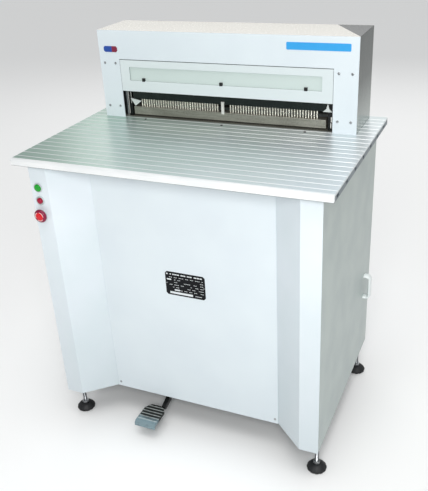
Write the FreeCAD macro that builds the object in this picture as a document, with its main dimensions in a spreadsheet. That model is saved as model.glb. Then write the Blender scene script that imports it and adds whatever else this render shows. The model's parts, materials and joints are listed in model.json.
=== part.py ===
"""Floor-standing paper hole punch with a foot pedal, as a parametric assembly.

Millimetres. +Z is up, the front faces -Y, and the origin lies on the floor under the middle of the machine.
"""
import FreeCAD, Part
import Sketcher
import math
import os

# Driving dimensions: alias, value, what it measures
SIZES = [
    ("table_width", 922, "table over its side edges"),
    ("table_height", 935, "floor to the table's top face"),
    ("deck_thick", 6, "ridged top deck of the table"),
    ("plank_thick", 15, "hollow planks that carry the deck"),
    ("table_lip", 30, "table front edge ahead of the columns"),
    ("table_rear_gap", 19, "cabinet back behind the table's rear edge"),
    ("edge_depth", 12, "depth of the rounded front edging"),
    ("edge_round", 6, "radius on the front edging"),
    ("ridge_pitch", 31.35, "ridge lines of the deck"),
    ("groove_width", 2.4, "groove in the deck"),
    ("groove_depth", 1.2, "groove in the deck"),
    ("slot_first", 38, "first plank slot behind the table's front"),
    ("slot_pitch", 89.4, "plank slots along the table's side"),
    ("slot_width", 16, "open slot in a plank's end"),
    ("slot_height", 8, "open slot in a plank's end"),
    ("table_overhang", 32, "table past the cabinet's side panels"),
    ("cabinet_depth", 616, "column fronts to the back panel"),
    ("cabinet_clear", 111, "floor to the lower edge of the panels"),
    ("panel_recess", 81, "front panel behind the column fronts"),
    ("column_face", 57, "width of a column's front face"),
    ("column_chamfer", 89, "width of a column's slanted face, seen from the front"),
    ("column_flange", 20, "flange behind the front panel"),
    ("sheet", 1.5, "cover sheet"),
    ("gap", 0.5, "gap between neighbouring covers"),
    ("panel_flange", 12, "turned-in edge of a panel"),
    ("angle_leg", 30, "leg of the frame's angle steel"),
    ("angle_thick", 4, "thickness of the frame's angle steel"),
    ("frame_inset", 18, "frame inside the cabinet's sides"),
    ("frame_setback", 41, "front uprights behind the column fronts"),
    ("column_return", 51, "flange that ties a column to its upright"),
    ("head_inset", 19, "head inside the cabinet's side panels"),
    ("head_depth", 173, "head front to back"),
    ("head_height", 271, "head above the table"),
    ("head_back_gap", 35, "back of the head ahead of the cabinet's back"),
    ("wrap_flange", 45, "turned-in rear edge of the head's wrap"),
    ("cheek_wide", 70, "cheeks beside the working window"),
    ("window_height", 85, "working window above the table"),
    ("guard_height", 97, "swing-up guard"),
    ("guard_depth", 10, "turned-in edges of the guard"),
    ("recess_end", 32, "ends of the pressed recess inside the window's sides"),
    ("recess_low", 34, "recess above the guard's lower edge"),
    ("recess_high", 41.5, "height of the recess"),
    ("recess_deep", 4, "depth of the recess"),
    ("clip_size", 10, "black clips on the guard"),
    ("clip_end", 47, "outer clips inside the ends of the recess"),
    ("guard_gap", 2, "seam over the guard, free for its corner to turn"),
    ("hinge_inset", 4, "guard hinge axis behind its front face"),
    ("hinge_drop", 4.5, "guard hinge axis below its top edge"),
    ("hinge_pin", 2, "radius of the guard hinge pins"),
    ("plate_thick", 18, "side plates of the head frame"),
    ("plate_deep", 153, "side plates front to back"),
    ("plate_low", 470, "lower end of the side plates"),
    ("head_cover_gap", 12, "top of the side plates below the head's top"),
    ("beam_high", 55, "tie beam between the side plates"),
    ("beam_deep", 60, "tie beam between the side plates"),
    ("die_setback", 12, "die plate behind the head's front"),
    ("die_depth", 58, "die plate front to back"),
    ("die_thick", 12, "die plate"),
    ("die_beam_high", 50, "beam under the die plate"),
    ("chip_slot", 14, "slot in the die beam under the pins"),
    ("throat", 6, "paper gap between die and guide bar"),
    ("bar_setback", 8, "guide bar behind the die's front edge"),
    ("bar_end", 47, "ends of the guide bar inside the side plates"),
    ("bar_high", 25, "guide bar"),
    ("bar_deep", 30, "guide bar"),
    ("pin_show", 25, "pins seen between guide bar and holder"),
    ("pin_radius", 2.25, "punch pins"),
    ("pin_pitch", 8.47, "three holes to the inch"),
    ("pin_setback", 6.5, "pins behind the guide bar's front"),
    ("pin_clear", 0.05, "running clearance of a pin in its guide"),
    ("pin_seat", 12, "pin inside the holder"),
    ("pin_end", 28, "outermost pins inside the ends of the guide bar"),
    ("free_left", 25, "bar without pins left of the middle"),
    ("free_right", 16, "bar without pins right of the middle"),
    ("post_wide", 9, "centre post"),
    ("post_thick", 4, "centre post"),
    ("post_clear", 1, "centre post ahead of the guide bar"),
    ("post_drop", 4, "centre post below the top of the guide bar"),
    ("holder_high", 20, "pin holder"),
    ("ram_high", 64, "ram bar"),
    ("ram_deep", 38, "ram bar"),
    ("ram_setback", 0.5, "ram behind the face of the guide bar"),
    ("ram_gap", 3, "ends of the ram clear of the end blocks and side plates"),
    ("ear_high", 35, "ears of the ram over the end blocks"),
    ("stroke", 14, "ram travel"),
    ("block_gap", 6, "end blocks past the ends of the guide bar"),
    ("block_thick", 13, "end blocks"),
    ("block_high", 89, "end blocks above the die"),
    ("block_deep", 50, "end blocks"),
    ("gusset_thick", 5, "gussets beside the end blocks"),
    ("gusset_lap", 2, "left gusset over the face of its end block"),
    ("gusset_long", 37, "left gusset's point inside its end block"),
    ("gusset_tip", 14, "left gusset's lower tip inside its end block"),
    ("gusset_rise", 3, "left gusset's lower tip above the guide bar"),
    ("gusset_reach", 15, "right gusset's foot inside its end block"),
    ("spike_high", 26, "right gusset's spike"),
    ("spike_waist", 9, "right gusset's spike above its foot"),
    ("stop_gap", 3, "paper stop behind the guide bar"),
    ("stop_high", 10, "paper stop"),
    ("rod_inset", 13, "pull rods inside the side plates"),
    ("rod_radius", 8, "pull rods"),
    ("rod_nut", 12, "nuts on the pull rods"),
    ("rod_free", 2, "free space round the pull rods in the die"),
    ("shaft_height", 560, "eccentric shaft above the floor"),
    ("shaft_radius", 16, "eccentric shaft"),
    ("shaft_end", 3, "ends of the eccentric shaft past its bearings"),
    ("disc_radius", 30, "eccentric discs"),
    ("disc_thick", 20, "eccentric discs"),
    ("yoke_wide", 116, "yokes round the eccentric discs"),
    ("yoke_high", 104, "yokes round the eccentric discs"),
    ("yoke_thick", 22, "yokes round the eccentric discs"),
    ("yoke_clear", 1.8, "free height of a disc in its yoke"),
    ("bearing_radius", 32, "shaft bearing flanges"),
    ("bearing_thick", 8, "shaft bearing flanges"),
    ("run_clear", 0.05, "running clearance of shafts"),
    ("clutch_radius", 45, "clutch hub"),
    ("clutch_gap", 7, "clutch hub clear of the left yoke"),
    ("clutch_long", 32, "clutch hub"),
    ("wheel_radius", 125, "flywheel"),
    ("wheel_gap", 10, "flywheel clear of the clutch hub"),
    ("wheel_thick", 36, "flywheel"),
    ("belt_wide", 13, "belt"),
    ("belt_thick", 8, "belt"),
    ("pulley_radius", 37.5, "motor pulley"),
    ("motor_radius", 68, "motor"),
    ("motor_long", 200, "motor"),
    ("motor_gap", 19, "motor clear of the flywheel"),
    ("motor_back", 110, "motor axis behind the middle"),
    ("motor_rise", 80, "motor axis above its plate"),
    ("motor_shaft", 9.5, "motor shaft radius"),
    ("motor_foot", 102, "foot of the motor, front to back"),
    ("mount_thick", 8, "motor plate"),
    ("rail_front", 0, "middle cross rail's front face"),
    ("rail_rear", 185, "rear cross rail's front face"),
    ("chute_side", 7, "chip chute past the outermost pins"),
    ("chute_mouth", 44, "chute front to back"),
    ("chute_end", 500, "lower end of the chute"),
    ("chute_lean", 200, "how far the chute leads forward"),
    ("bin_side", 5, "chip bin past the sides of the chute"),
    ("bin_deep", 175, "chip bin"),
    ("bin_high", 180, "chip bin"),
    ("bin_front", -170, "chip bin's front face"),
    ("bin_sheet", 1.5, "chip bin's wall"),
    ("shelf_height", 296, "top of the bin shelf"),
    ("shelf_thick", 3, "bin shelf"),
    ("pedal_left", 140, "middle of the pedal tread, left of the middle"),
    ("pedal_wide", 72, "pedal tread"),
    ("pedal_long", 94, "pedal tread"),
    ("pedal_top", 62, "pedal tread's top face at its rear"),
    ("pedal_thick", 9, "pedal tread"),
    ("pedal_lip", 16, "turned-down front of the tread"),
    ("tread_ribs", 6, "ribs across the tread"),
    ("rib_high", 2.2, "ribs across the tread"),
    ("pedal_gap", 3, "tread's rear edge ahead of the front panel"),
    ("arm_left", 118, "middle of the pedal arm, left of the middle"),
    ("arm_wide", 14, "pedal arm"),
    ("arm_deep", 16, "pedal arm"),
    ("pivot_back", 30, "pedal pivot ahead of the middle"),
    ("pivot_height", 150, "pedal pivot above the floor"),
    ("pivot_radius", 8, "rock shaft"),
    ("rock_end", 18, "end of the rock shaft past the levers"),
    ("link_beside", 10, "clutch pull rod beside the levers"),
    ("lever_inset", 5, "middle of the levers inside the left face of the clutch hub"),
    ("lever_thick", 8, "levers"),
    ("lever_long", 80, "rock lever"),
    ("link_radius", 3.5, "clutch pull rod"),
    ("link_pin", 4, "pins of the pull rod"),
    ("link_eye", 10, "eyes of the pull rod"),
    ("eye_clear", 0.7, "free play of the pull rod's eyes"),
    ("crank_ahead", 74.5, "bell-crank pivot ahead of the eccentric shaft"),
    ("crank_pivot_height", 470, "bell-crank pivot above the floor"),
    ("crank_rise", 90, "bell-crank nose above its pivot"),
    ("crank_tip_gap", 2, "nose in front of the clutch hub"),
    ("spring_radius", 7, "return spring"),
    ("spring_wall", 2, "return spring"),
    ("spring_beside", 13, "return spring beside the levers"),
    ("spring_arm", 60, "return spring ahead of the pedal pivot"),
    ("button_inset", 25, "push buttons inside the cabinet's left side"),
    ("start_drop", 71, "start button below the table"),
    ("stop_drop", 111, "stop button below the table"),
    ("estop_drop", 155, "emergency stop below the table"),
    ("button_radius", 11, "start and stop buttons"),
    ("collar_radius", 14, "button collars"),
    ("collar_stand", 4, "button collars in front of the column"),
    ("button_stand", 8, "button faces in front of the column"),
    ("mushroom_radius", 20, "emergency stop"),
    ("mushroom_neck", 6, "emergency stop's neck in front of the column"),
    ("mushroom_stand", 20, "emergency stop in front of the column"),
    ("switch_deep", 34, "switch bodies behind the column face"),
    ("stem_radius", 5, "button stems"),
    ("foot_inset", 18, "levelling feet inside the cabinet's sides"),
    ("foot_rear_inset", 47, "rear feet ahead of the cabinet's back"),
    ("pad_radius", 30, "foot pads"),
    ("pad_high", 22, "foot pads"),
    ("pad_waist", 24, "foot pads at two thirds of their height"),
    ("stud_radius", 6, "foot studs"),
    ("nut_radius", 11, "foot nuts"),
    ("nut_high", 9, "foot nuts"),
    ("foot_plate", 8, "plates that hold the foot studs"),
    ("foot_plate_long", 46, "plates that hold the foot studs"),
    ("foot_plate_edge", 3, "foot plates inside the cabinet's sides"),
    ("handle_high", 90, "door handle"),
    ("handle_wide", 26, "door handle"),
    ("handle_stand", 25, "door handle"),
    ("handle_grip", 11, "thickness of the handle's bow"),
    ("handle_inset", 83, "door handle ahead of the cabinet's rear"),
    ("handle_low", 330, "door handle above the floor"),
    ("door_pin", 3, "door pivot pins"),
    ("door_pin_inset", 5.5, "door pivot inside the door's outer face"),
    ("door_pin_back", 12, "door pivot behind the column's front"),
    ("door_tab", 3, "tabs that turn on the door pivots"),
    ("door_edge", 3.8, "door's front edge behind the column's front"),
    ("screw_radius", 4, "screw heads"),
    ("screw_high", 1.6, "screw heads"),
    ("shank_radius", 2, "screw shanks"),
    ("shank_long", 10, "screw shanks"),
    ("cheek_screw_edge", 17, "outer cheek screws inside the head's sides"),
    ("cheek_screw_inner", 15, "inner cheek screws beside the window"),
    ("cheek_screw_low", 35, "lower cheek screws above the table"),
    ("cheek_screw_high", 171, "upper cheek screws above the table"),
    ("panel_screw_inset", 12, "front panel screws inside the slanted faces"),
    ("panel_screw_edge", 16, "front panel screws from its edges"),
    ("table_screw_inset", 78, "outer table screws inside the window's sides"),
    ("table_screw_ahead", 9, "table screws ahead of the head"),
    ("badge_wide", 48, "small badge"),
    ("badge_high", 18, "small badge"),
    ("badge_inset", 18, "badge inside the head's left side"),
    ("badge_low", 205, "badge above the table"),
    ("label_wide", 183, "blue label"),
    ("label_high", 21, "blue label"),
    ("label_inset", 23, "label inside the head's right side"),
    ("label_low", 231.5, "blue label above the table"),
    ("trim_thick", 0.8, "labels and plates"),
    ("trim_round", 2, "rounded corners of labels"),
    ("plate_wide", 128, "data plate"),
    ("plate_high", 78, "data plate"),
    ("plate_bottom", 510, "data plate above the floor"),
    ("plate_corner", 6, "cut corners of the data plate"),
    ("vent_wide", 150, "vents in the back panel"),
    ("vent_high", 6, "vents in the back panel"),
    ("vent_pitch", 18, "vents in the back panel"),
    ("vent_count", 8, "vents in the back panel"),
    ("vent_low", 220, "lowest vent above the floor"),
    ("gland_radius", 13, "cable gland"),
    ("gland_bore", 5, "cable gland"),
    ("gland_long", 16, "cable gland"),
    ("box_wide", 150, "control box"),
    ("box_high", 220, "control box"),
    ("box_deep", 90, "control box"),
    ("cover_screw_low", 24, "lower screws of the back and left panels above their lower edge"),
    ("cover_screw_high", 401, "middle screws of the back panel above the lower ones"),
]

doc = FreeCAD.newDocument("paper_punch")
sheet_cells = doc.addObject("Spreadsheet::Sheet", "sizes")
for row, (alias, value, note) in enumerate(SIZES, start=1):
    sheet_cells.set("A%d" % row, note)
    sheet_cells.set("B%d" % row, str(value))
    sheet_cells.setAlias("B%d" % row, alias)
doc.recompute()


class Size:
    """A length that knows its value and the sheet expression that it comes from."""

    def __init__(self, value, text):
        self.value = float(value)
        self.text = text

    def formed(self, other, sign, value):
        other_text = other.text if isinstance(other, Size) else repr(other)
        return Size(value, "(%s %s %s)" % (self.text, sign, other_text))

    def __add__(self, other):
        return self.formed(other, "+", self.value + number(other))

    def __sub__(self, other):
        return self.formed(other, "-", self.value - number(other))

    def __mul__(self, other):
        return self.formed(other, "*", self.value * number(other))

    def __truediv__(self, other):
        return self.formed(other, "/", self.value / number(other))

    def __neg__(self):
        return Size(-self.value, "(0 - %s)" % self.text)

    def __radd__(self, other):
        return size(other) + self

    def __rmul__(self, other):
        return size(other) * self


def number(item):
    return item.value if isinstance(item, Size) else float(item)


def size(item):
    return item if isinstance(item, Size) else Size(item, repr(item))


def root(item):
    return Size(math.sqrt(item.value), "sqrt(%s)" % item.text)


def whole(item):
    """The whole number of times that a ratio holds."""
    return Size(math.floor(item.value), "floor(%s)" % item.text)


class Cells:
    """Each driving dimension of the sheet under its own name."""


S = Cells()
for alias, value, note in SIZES:
    setattr(S, alias, Size(value, "sizes." + alias))

ZERO = size(0)

# Places that follow from the driving dimensions
front = -(S.table_lip + S.cabinet_depth) / 2
column_y = front + S.table_lip
rear = column_y + S.cabinet_depth
panel_y = column_y + S.panel_recess
table_rear = rear - S.table_rear_gap
table_x = S.table_width / 2
table_top = S.table_height
table_low = table_top - S.deck_thick - S.plank_thick
cabinet_x = table_x - S.table_overhang
head_x = cabinet_x - S.head_inset
head_rear = rear - S.head_back_gap
head_y = head_rear - S.head_depth
window_half = head_x - S.cheek_wide
recess_half = window_half - S.recess_end
head_top = table_top + S.head_height
window_top = table_top + S.window_height
guard_top = window_top + S.guard_height
die_y = head_y + S.die_setback
die_low = table_top - S.die_thick
beam_low = die_low - S.die_beam_high
bar_y = die_y + S.bar_setback
bar_low = table_top + S.throat
bar_top = bar_low + S.bar_high
pin_y = bar_y + S.pin_setback
holder_low = bar_top + S.pin_show
ram_y = bar_y + S.ram_setback
ram_rear = ram_y + S.ram_deep
ram_low = holder_low + S.holder_high
ram_top = ram_low + S.ram_high
rod_y = ram_y + S.ram_deep / 2
disc_height = S.shaft_height + S.stroke / 2
frame_x = cabinet_x - S.frame_inset
frame_inner = frame_x - S.angle_leg
frame_low = S.cabinet_clear + S.foot_plate
plate_outer = frame_inner
plate_inner = plate_outer - S.plate_thick
plate_rear = die_y + S.plate_deep
plate_top = head_top - S.head_cover_gap
back_y = rear - S.screw_high
frame_rear = back_y - S.sheet
frame_front = column_y + S.frame_setback
shelf_low = S.shelf_height - S.shelf_thick
door_pin_x = cabinet_x - S.door_pin_inset
door_pin_y = column_y + S.door_pin_back
bar_half = plate_inner - S.bar_end
block_inner = bar_half + S.block_gap
ram_half = block_inner - S.ram_gap
rod_reach = plate_inner - S.rod_inset
shaft_reach = plate_outer + S.bearing_thick + S.shaft_end
pin_reach = bar_half - S.pin_end
left_pins = whole((pin_reach - S.free_left) / S.pin_pitch) + 1
right_pins = whole((pin_reach - S.free_right) / S.pin_pitch) + 1
chute_half = pin_reach + S.chute_side
clutch_left = rod_reach - S.yoke_thick / 2 - S.clutch_gap
wheel_left = clutch_left - S.clutch_long - S.wheel_gap
wheel_middle = -(wheel_left - S.wheel_thick / 2)
motor_left = wheel_left - S.wheel_thick - S.motor_gap
lever_left = clutch_left - S.lever_inset
link_left = lever_left - S.link_beside
spring_left = lever_left + S.spring_beside
rock_left = lever_left + S.rock_end
link_y = -(S.pivot_back + S.lever_long)
crank_y = rod_y - S.crank_ahead
button_left = cabinet_x - S.button_inset
start_height = table_low - S.start_drop
stop_height = table_low - S.stop_drop
estop_height = table_low - S.estop_drop
foot_reach = cabinet_x - S.foot_inset
foot_front_y = frame_front + S.angle_leg / 2
foot_rear_y = rear - S.foot_rear_inset
inner_x = cabinet_x - S.column_face - S.column_chamfer
panel_screw_x = inner_x - S.panel_screw_inset

AXES = {
    "x": FreeCAD.Rotation(FreeCAD.Vector(0, 1, 0), 90),
    "y": FreeCAD.Rotation(FreeCAD.Vector(1, 0, 0), -90),
    "z": FreeCAD.Rotation(),
}
TURNED = {
    "x": FreeCAD.Rotation(),
    "y": FreeCAD.Rotation(FreeCAD.Vector(0, 0, 1), 90),
    "z": FreeCAD.Rotation(FreeCAD.Vector(0, 1, 0), -90),
}
PLANE_OF = {"x": "YZ_Plane", "y": "XZ_Plane", "z": "XY_Plane"}
nodes = []
mounts = []


def bind(item, **links):
    """Ties properties of an object to expressions of the sheet."""
    for path, amount in links.items():
        item.setExpression(path.replace("__", "."), size(amount).text)


def place(item, where):
    bind(item, Placement__Base__x=where[0], Placement__Base__y=where[1], Placement__Base__z=where[2])


def box(name, low, high):
    item = doc.addObject("Part::Box", name)
    lengths = [size(b) - size(a) for a, b in zip(low, high)]
    for amount in lengths:
        if amount.value <= 0:
            raise ValueError("%s has no thickness" % name)
    bind(item, Length=lengths[0], Width=lengths[1], Height=lengths[2])
    place(item, low)
    return item


def rod(name, start, radius, length, along="z"):
    """A round bar from the middle of its first end face."""
    item = doc.addObject("Part::Cylinder", name)
    item.Placement = FreeCAD.Placement(FreeCAD.Vector(), AXES[along])
    bind(item, Radius=radius, Height=length)
    place(item, start)
    return item


def group(name, items):
    item = doc.addObject("Part::Compound", name)
    item.Links = items
    return item


def joined(name, items):
    item = doc.addObject("Part::MultiFuse", name)
    item.Shapes = items
    return item


def less(name, base, tools):
    """A piece with other shapes taken out of it."""
    item = doc.addObject("Part::Cut", name)
    item.Base = base
    item.Tool = tools[0] if len(tools) == 1 else group(name + "_tools", tools)
    return item


def node(label, item):
    """Marks a finished sub-part, whose label names its file."""
    item.Label = label
    nodes.append(item)


def both_sides(make):
    """The same piece on the right (1) and on the left (-1)."""
    return [make(1, "right"), make(-1, "left")]


def span(side, near, far):
    """Low and high X of a stretch that lies between two distances from the middle."""
    if side > 0:
        return size(near), size(far)
    return -size(far), -size(near)


def sketch_on(body, along, outline, offset):
    """A closed straight-sided outline on one of a body's own planes, each point held by two distances."""
    sketch = body.newObject("Sketcher::SketchObject", body.Name + "_outline")
    plane = [f for f in body.Origin.OriginFeatures if f.Role == PLANE_OF[along]][0]
    sketch.AttachmentSupport = [(plane, "")]
    sketch.MapMode = "FlatFace"
    bind(sketch, AttachmentOffset__Base__z=-size(offset) if along == "y" else offset)
    points = [(size(u), size(v)) for u, v in outline]
    corners = [FreeCAD.Vector(u.value, v.value, 0) for u, v in points]
    count = len(points)
    for i in range(count):
        sketch.addGeometry(Part.LineSegment(corners[i], corners[(i + 1) % count]), False)
    for i in range(count):
        sketch.addConstraint(Sketcher.Constraint("Coincident", i, 2, (i + 1) % count, 1))
    for i, point in enumerate(points):
        for kind, amount in zip(("DistanceX", "DistanceY"), point):
            index = sketch.addConstraint(Sketcher.Constraint(kind, -1, 1, i, 1, amount.value))
            sketch.setExpression("Constraints[%d]" % index, amount.text)
    return sketch


def profile(name, along, outline, start, depth):
    """A body with a straight-sided section, padded along one axis from its start."""
    body = doc.addObject("PartDesign::Body", name)
    sketch = sketch_on(body, along, outline, start)
    pad = body.newObject("PartDesign::Pad", name + "_pad")
    pad.Profile = sketch
    bind(pad, Length=depth)
    pad.Reversed = along == "y"
    body.Tip = pad
    return body


def turned(name, outline, where, along="z"):
    """A body turned about an axis: the outline gives places along the axis and radii."""
    body = doc.addObject("PartDesign::Body", name)
    body.Placement = FreeCAD.Placement(FreeCAD.Vector(), TURNED[along])
    place(body, where)
    sketch = sketch_on(body, "z", outline, 0)
    spin = body.newObject("PartDesign::Revolution", name + "_spin")
    spin.Profile = sketch
    spin.ReferenceAxis = (sketch, ["H_Axis"])
    spin.Angle = 360
    body.Tip = spin
    return body


def ring(name, where, inner, outer, length, along):
    return turned(name, [(0, inner), (0, outer), (length, outer), (length, inner)], where, along)


def circle_on(body, name, middle, radius):
    """A circle on a body's XY plane, held by its centre and radius."""
    sketch = body.newObject("Sketcher::SketchObject", name)
    plane = [f for f in body.Origin.OriginFeatures if f.Role == "XY_Plane"][0]
    sketch.AttachmentSupport = [(plane, "")]
    sketch.MapMode = "FlatFace"
    across, back = middle
    centre = FreeCAD.Vector(across.value, back.value, 0)
    sketch.addGeometry(Part.Circle(centre, FreeCAD.Vector(0, 0, 1), size(radius).value), False)
    for kind, amount in (("DistanceX", across), ("DistanceY", back)):
        index = sketch.addConstraint(Sketcher.Constraint(kind, -1, 1, 0, 3, amount.value))
        sketch.setExpression("Constraints[%d]" % index, amount.text)
    index = sketch.addConstraint(Sketcher.Constraint("Radius", 0, size(radius).value))
    sketch.setExpression("Constraints[%d]" % index, size(radius).text)
    return sketch


def repeat(body, feature, sketch, pitch, count):
    """Repeats a feature of a body along its sketch's horizontal axis."""
    pattern = body.newObject("PartDesign::LinearPattern", feature.Name + "_row")
    pattern.Originals = [feature]
    pattern.Direction = (sketch, ["H_Axis"])
    bind(pattern, Length=pitch * (count - 1), Occurrences=count)
    body.Tip = pattern


# The two groups of pins, from the first pin of each group to its last
PIN_GROUPS = (
    ("left", -pin_reach, left_pins),
    ("right", pin_reach - S.pin_pitch * (right_pins - 1), right_pins),
)


def bore_pins(body, clearance):
    """Bores a bar for both groups of pins, with a radial clearance."""
    for name, first, count in PIN_GROUPS:
        place_name = "%s_%s" % (body.Name, name)
        sketch = circle_on(body, place_name + "_bore", (first, pin_y), S.pin_radius + clearance)
        pocket = body.newObject("PartDesign::Pocket", place_name + "_holes")
        pocket.Profile = sketch
        pocket.Type = "ThroughAll"
        pocket.SideType = "Symmetric"
        repeat(body, pocket, sketch, S.pin_pitch, count)
    return body


def slab(name, low, high):
    """A body padded upwards from a rectangle, for pieces that get rows of holes."""
    outline = [(low[0], low[1]), (high[0], low[1]), (high[0], high[1]), (low[0], high[1])]
    return profile(name, "z", outline, low[2], size(high[2]) - size(low[2]))


def cut_plate(label, low, wide, high, corner, back):
    """A thin plate with cut corners, on a face that looks to the front."""
    left, bottom = low
    right = left + wide
    top = bottom + high
    outline = [
        (left + corner, bottom), (right - corner, bottom), (right, bottom + corner), (right, top - corner),
        (right - corner, top), (left + corner, top), (left, top - corner), (left, bottom + corner),
    ]
    node(label, profile(label + "_plate", "y", outline, back - S.trim_thick, S.trim_thick))


def angle(name, low, high, legs):
    """Angle steel: a square bar with its inside cut away; legs gives each leg's side, 0 along the bar."""
    cut_low = []
    cut_high = []
    for near, far, leg in zip(low, high, legs):
        near = size(near)
        far = size(far)
        cut_low.append(near - S.sheet if leg >= 0 else near + S.angle_thick)
        cut_high.append(far + S.sheet if leg <= 0 else far - S.angle_thick)
    return less(name, box(name + "_bar", low, high), [box(name + "_inside", cut_low, cut_high)])


def side_rails(name, base):
    """Two rails along the sides, one each side, from a height."""
    def one(side, word):
        low_x, high_x = span(side, frame_inner, frame_x)
        low = (low_x, frame_front + S.angle_leg, base)
        high = (high_x, frame_rear - S.angle_leg, base + S.angle_leg)
        return angle("%s_%s" % (name, word), low, high, (side, 0, -1))
    return both_sides(one)


def cross_rail(name, start, base, legs):
    """A rail across the machine between the side rails."""
    low = (-frame_inner, start, base)
    high = (frame_inner, start + S.angle_leg, base + S.angle_leg)
    return angle(name, low, high, legs)


def make_base_frame():
    """Welded angle steel: uprights, side rails at four heights, cross rails and foot plates."""
    members = []
    for word, start, leg in (("front", frame_front, -1), ("rear", frame_rear - S.angle_leg, 1)):
        def upright(side, hand):
            low_x, high_x = span(side, frame_inner, frame_x)
            low = (low_x, start, frame_low)
            high = (high_x, start + S.angle_leg, table_low)
            return angle("upright_%s_%s" % (word, hand), low, high, (side, leg, 0))
        members += both_sides(upright)
    members += side_rails("low_rail", frame_low)
    members += side_rails("shelf_rail", shelf_low - S.angle_leg)
    members += side_rails("head_rail", S.shaft_height + S.bearing_radius + S.disc_radius)
    members += side_rails("top_rail", table_low - S.angle_leg)
    behind_panel = panel_y + S.sheet + S.sheet
    top = table_low - S.angle_leg
    shanks = panel_screw_shanks("frame_hole_right", 1) + panel_screw_shanks("frame_hole_left", -1)
    for name, base, up in (("low_front", frame_low, -1), ("top_front", top, 1)):
        members.append(less(name + "_bored", cross_rail(name, behind_panel, base, (0, -1, up)), shanks))
    members.append(cross_rail("low_rear", frame_rear - S.angle_leg, frame_low, (0, 1, -1)))
    members.append(cross_rail("top_rear", frame_rear - S.angle_leg, top, (0, 1, 1)))
    members.append(cross_rail("motor_front", S.rail_front, frame_low, (0, -1, 1)))
    members.append(cross_rail("motor_rear", S.rail_rear, frame_low, (0, -1, 1)))
    for word, middle in (("front", foot_front_y), ("rear", foot_rear_y)):
        def plate(side, hand):
            low_x, high_x = span(side, frame_inner, cabinet_x - S.foot_plate_edge)
            half = S.foot_plate_long / 2
            name = "foot_plate_%s_%s" % (word, hand)
            low = (low_x, middle - half, S.cabinet_clear)
            solid = box(name, low, (high_x, middle + half, frame_low))
            hole_at = (foot_reach * side, middle, S.cabinet_clear)
            hole = rod(name + "_hole", hole_at, S.stud_radius + S.run_clear, S.foot_plate)
            return less(name + "_bored", solid, [hole])
        members += both_sides(plate)
    node("base_frame", group("base_frame_weld", members))


def make_head_frame():
    """Two thick side plates and the tie beam between their tops."""
    def plate(side, word):
        low_x, high_x = span(side, plate_inner, plate_outer)
        solid = box("side_plate_" + word, (low_x, die_y, S.plate_low), (high_x, plate_rear, plate_top))
        free = S.shaft_radius + S.bearing_thick / 2
        hole = rod("side_plate_hole_" + word, (low_x, rod_y, S.shaft_height), free, S.plate_thick, "x")
        return less("side_plate_bored_" + word, solid, [hole])
    plates = both_sides(plate)
    beam_top = plate_top - S.plate_thick
    beam_y = (die_y + plate_rear) / 2
    beam = box("tie_beam", (-plate_inner, beam_y - S.beam_deep / 2, beam_top - S.beam_high),
               (plate_inner, beam_y + S.beam_deep / 2, beam_top))
    node("head_frame", group("head_frame_set", plates + [beam]))

    def bearing(side, word):
        start = plate_outer if side > 0 else -(plate_outer + S.bearing_thick)
        bore = S.shaft_radius + S.run_clear
        where = (start, rod_y, S.shaft_height)
        return ring("bearing_" + word, where, bore, S.bearing_radius, S.bearing_thick, "x")
    node("shaft_bearings", group("shaft_bearing_set", both_sides(bearing)))


def rod_holes(name, base, length):
    """Free holes for the two pull rods."""
    def hole(side, word):
        where = (rod_reach * side, rod_y, base)
        return rod("%s_%s" % (name, word), where, S.rod_radius + S.rod_free, length)
    return both_sides(hole)


def make_punch_tools():
    """Die plate on its beam, guide bar with end blocks and gussets, and the paper stop behind them."""
    die_rear = die_y + S.die_depth
    half = plate_inner
    die = slab("die", (-half, die_y, die_low), (half, die_rear, table_top))
    bored = bore_pins(die, S.pin_clear * 2)
    node("die_plate", less("die_rod_bored", bored, rod_holes("die_rod_hole", die_low, S.die_thick)))
    beam = box("die_beam_bar", (-half, die_y, beam_low), (half, die_rear, die_low))
    slot = box("die_beam_slot", (-chute_half, pin_y - S.chip_slot / 2, beam_low),
               (chute_half, pin_y + S.chip_slot / 2, die_low))
    holes = rod_holes("beam_rod_hole", beam_low, S.die_beam_high)
    node("die_beam", less("die_beam_slotted", beam, [slot] + holes))
    bar = slab("guide", (-bar_half, bar_y, bar_low), (bar_half, bar_y + S.bar_deep, bar_top))
    node("guide_bar", bore_pins(bar, S.pin_clear))

    def block(side, word):
        low_x, high_x = span(side, block_inner, block_inner + S.block_thick)
        high = (high_x, bar_y + S.block_deep, table_top + S.block_high)
        return box("end_block_" + word, (low_x, bar_y, table_top), high)
    node("end_blocks", group("end_block_set", both_sides(block)))

    left_outline = [(-block_inner - S.gusset_lap, holder_low + S.gusset_lap),
                    (-block_inner + S.gusset_long, holder_low - S.gusset_thick),
                    (-block_inner + S.gusset_tip, bar_top + S.gusset_rise)]
    half_waist = S.spike_waist / 2
    right_outline = [(block_inner - S.gusset_reach, holder_low), (block_inner + S.block_thick, holder_low),
                     (block_inner + half_waist, holder_low + S.spike_waist),
                     (block_inner, holder_low + S.spike_high),
                     (block_inner - half_waist, holder_low + S.spike_waist)]
    gusset_y = bar_y - S.gusset_thick
    gussets = [profile("gusset_left", "y", left_outline, gusset_y, S.gusset_thick),
               profile("gusset_right", "y", right_outline, gusset_y, S.gusset_thick)]
    node("bar_gussets", group("gusset_set", gussets))
    stop_y = bar_y + S.bar_deep + S.stop_gap
    node("paper_stop", box("paper_stop_bar", (-bar_half, stop_y, table_top),
                           (bar_half, stop_y + S.stop_high, table_top + S.stop_high)))


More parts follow.
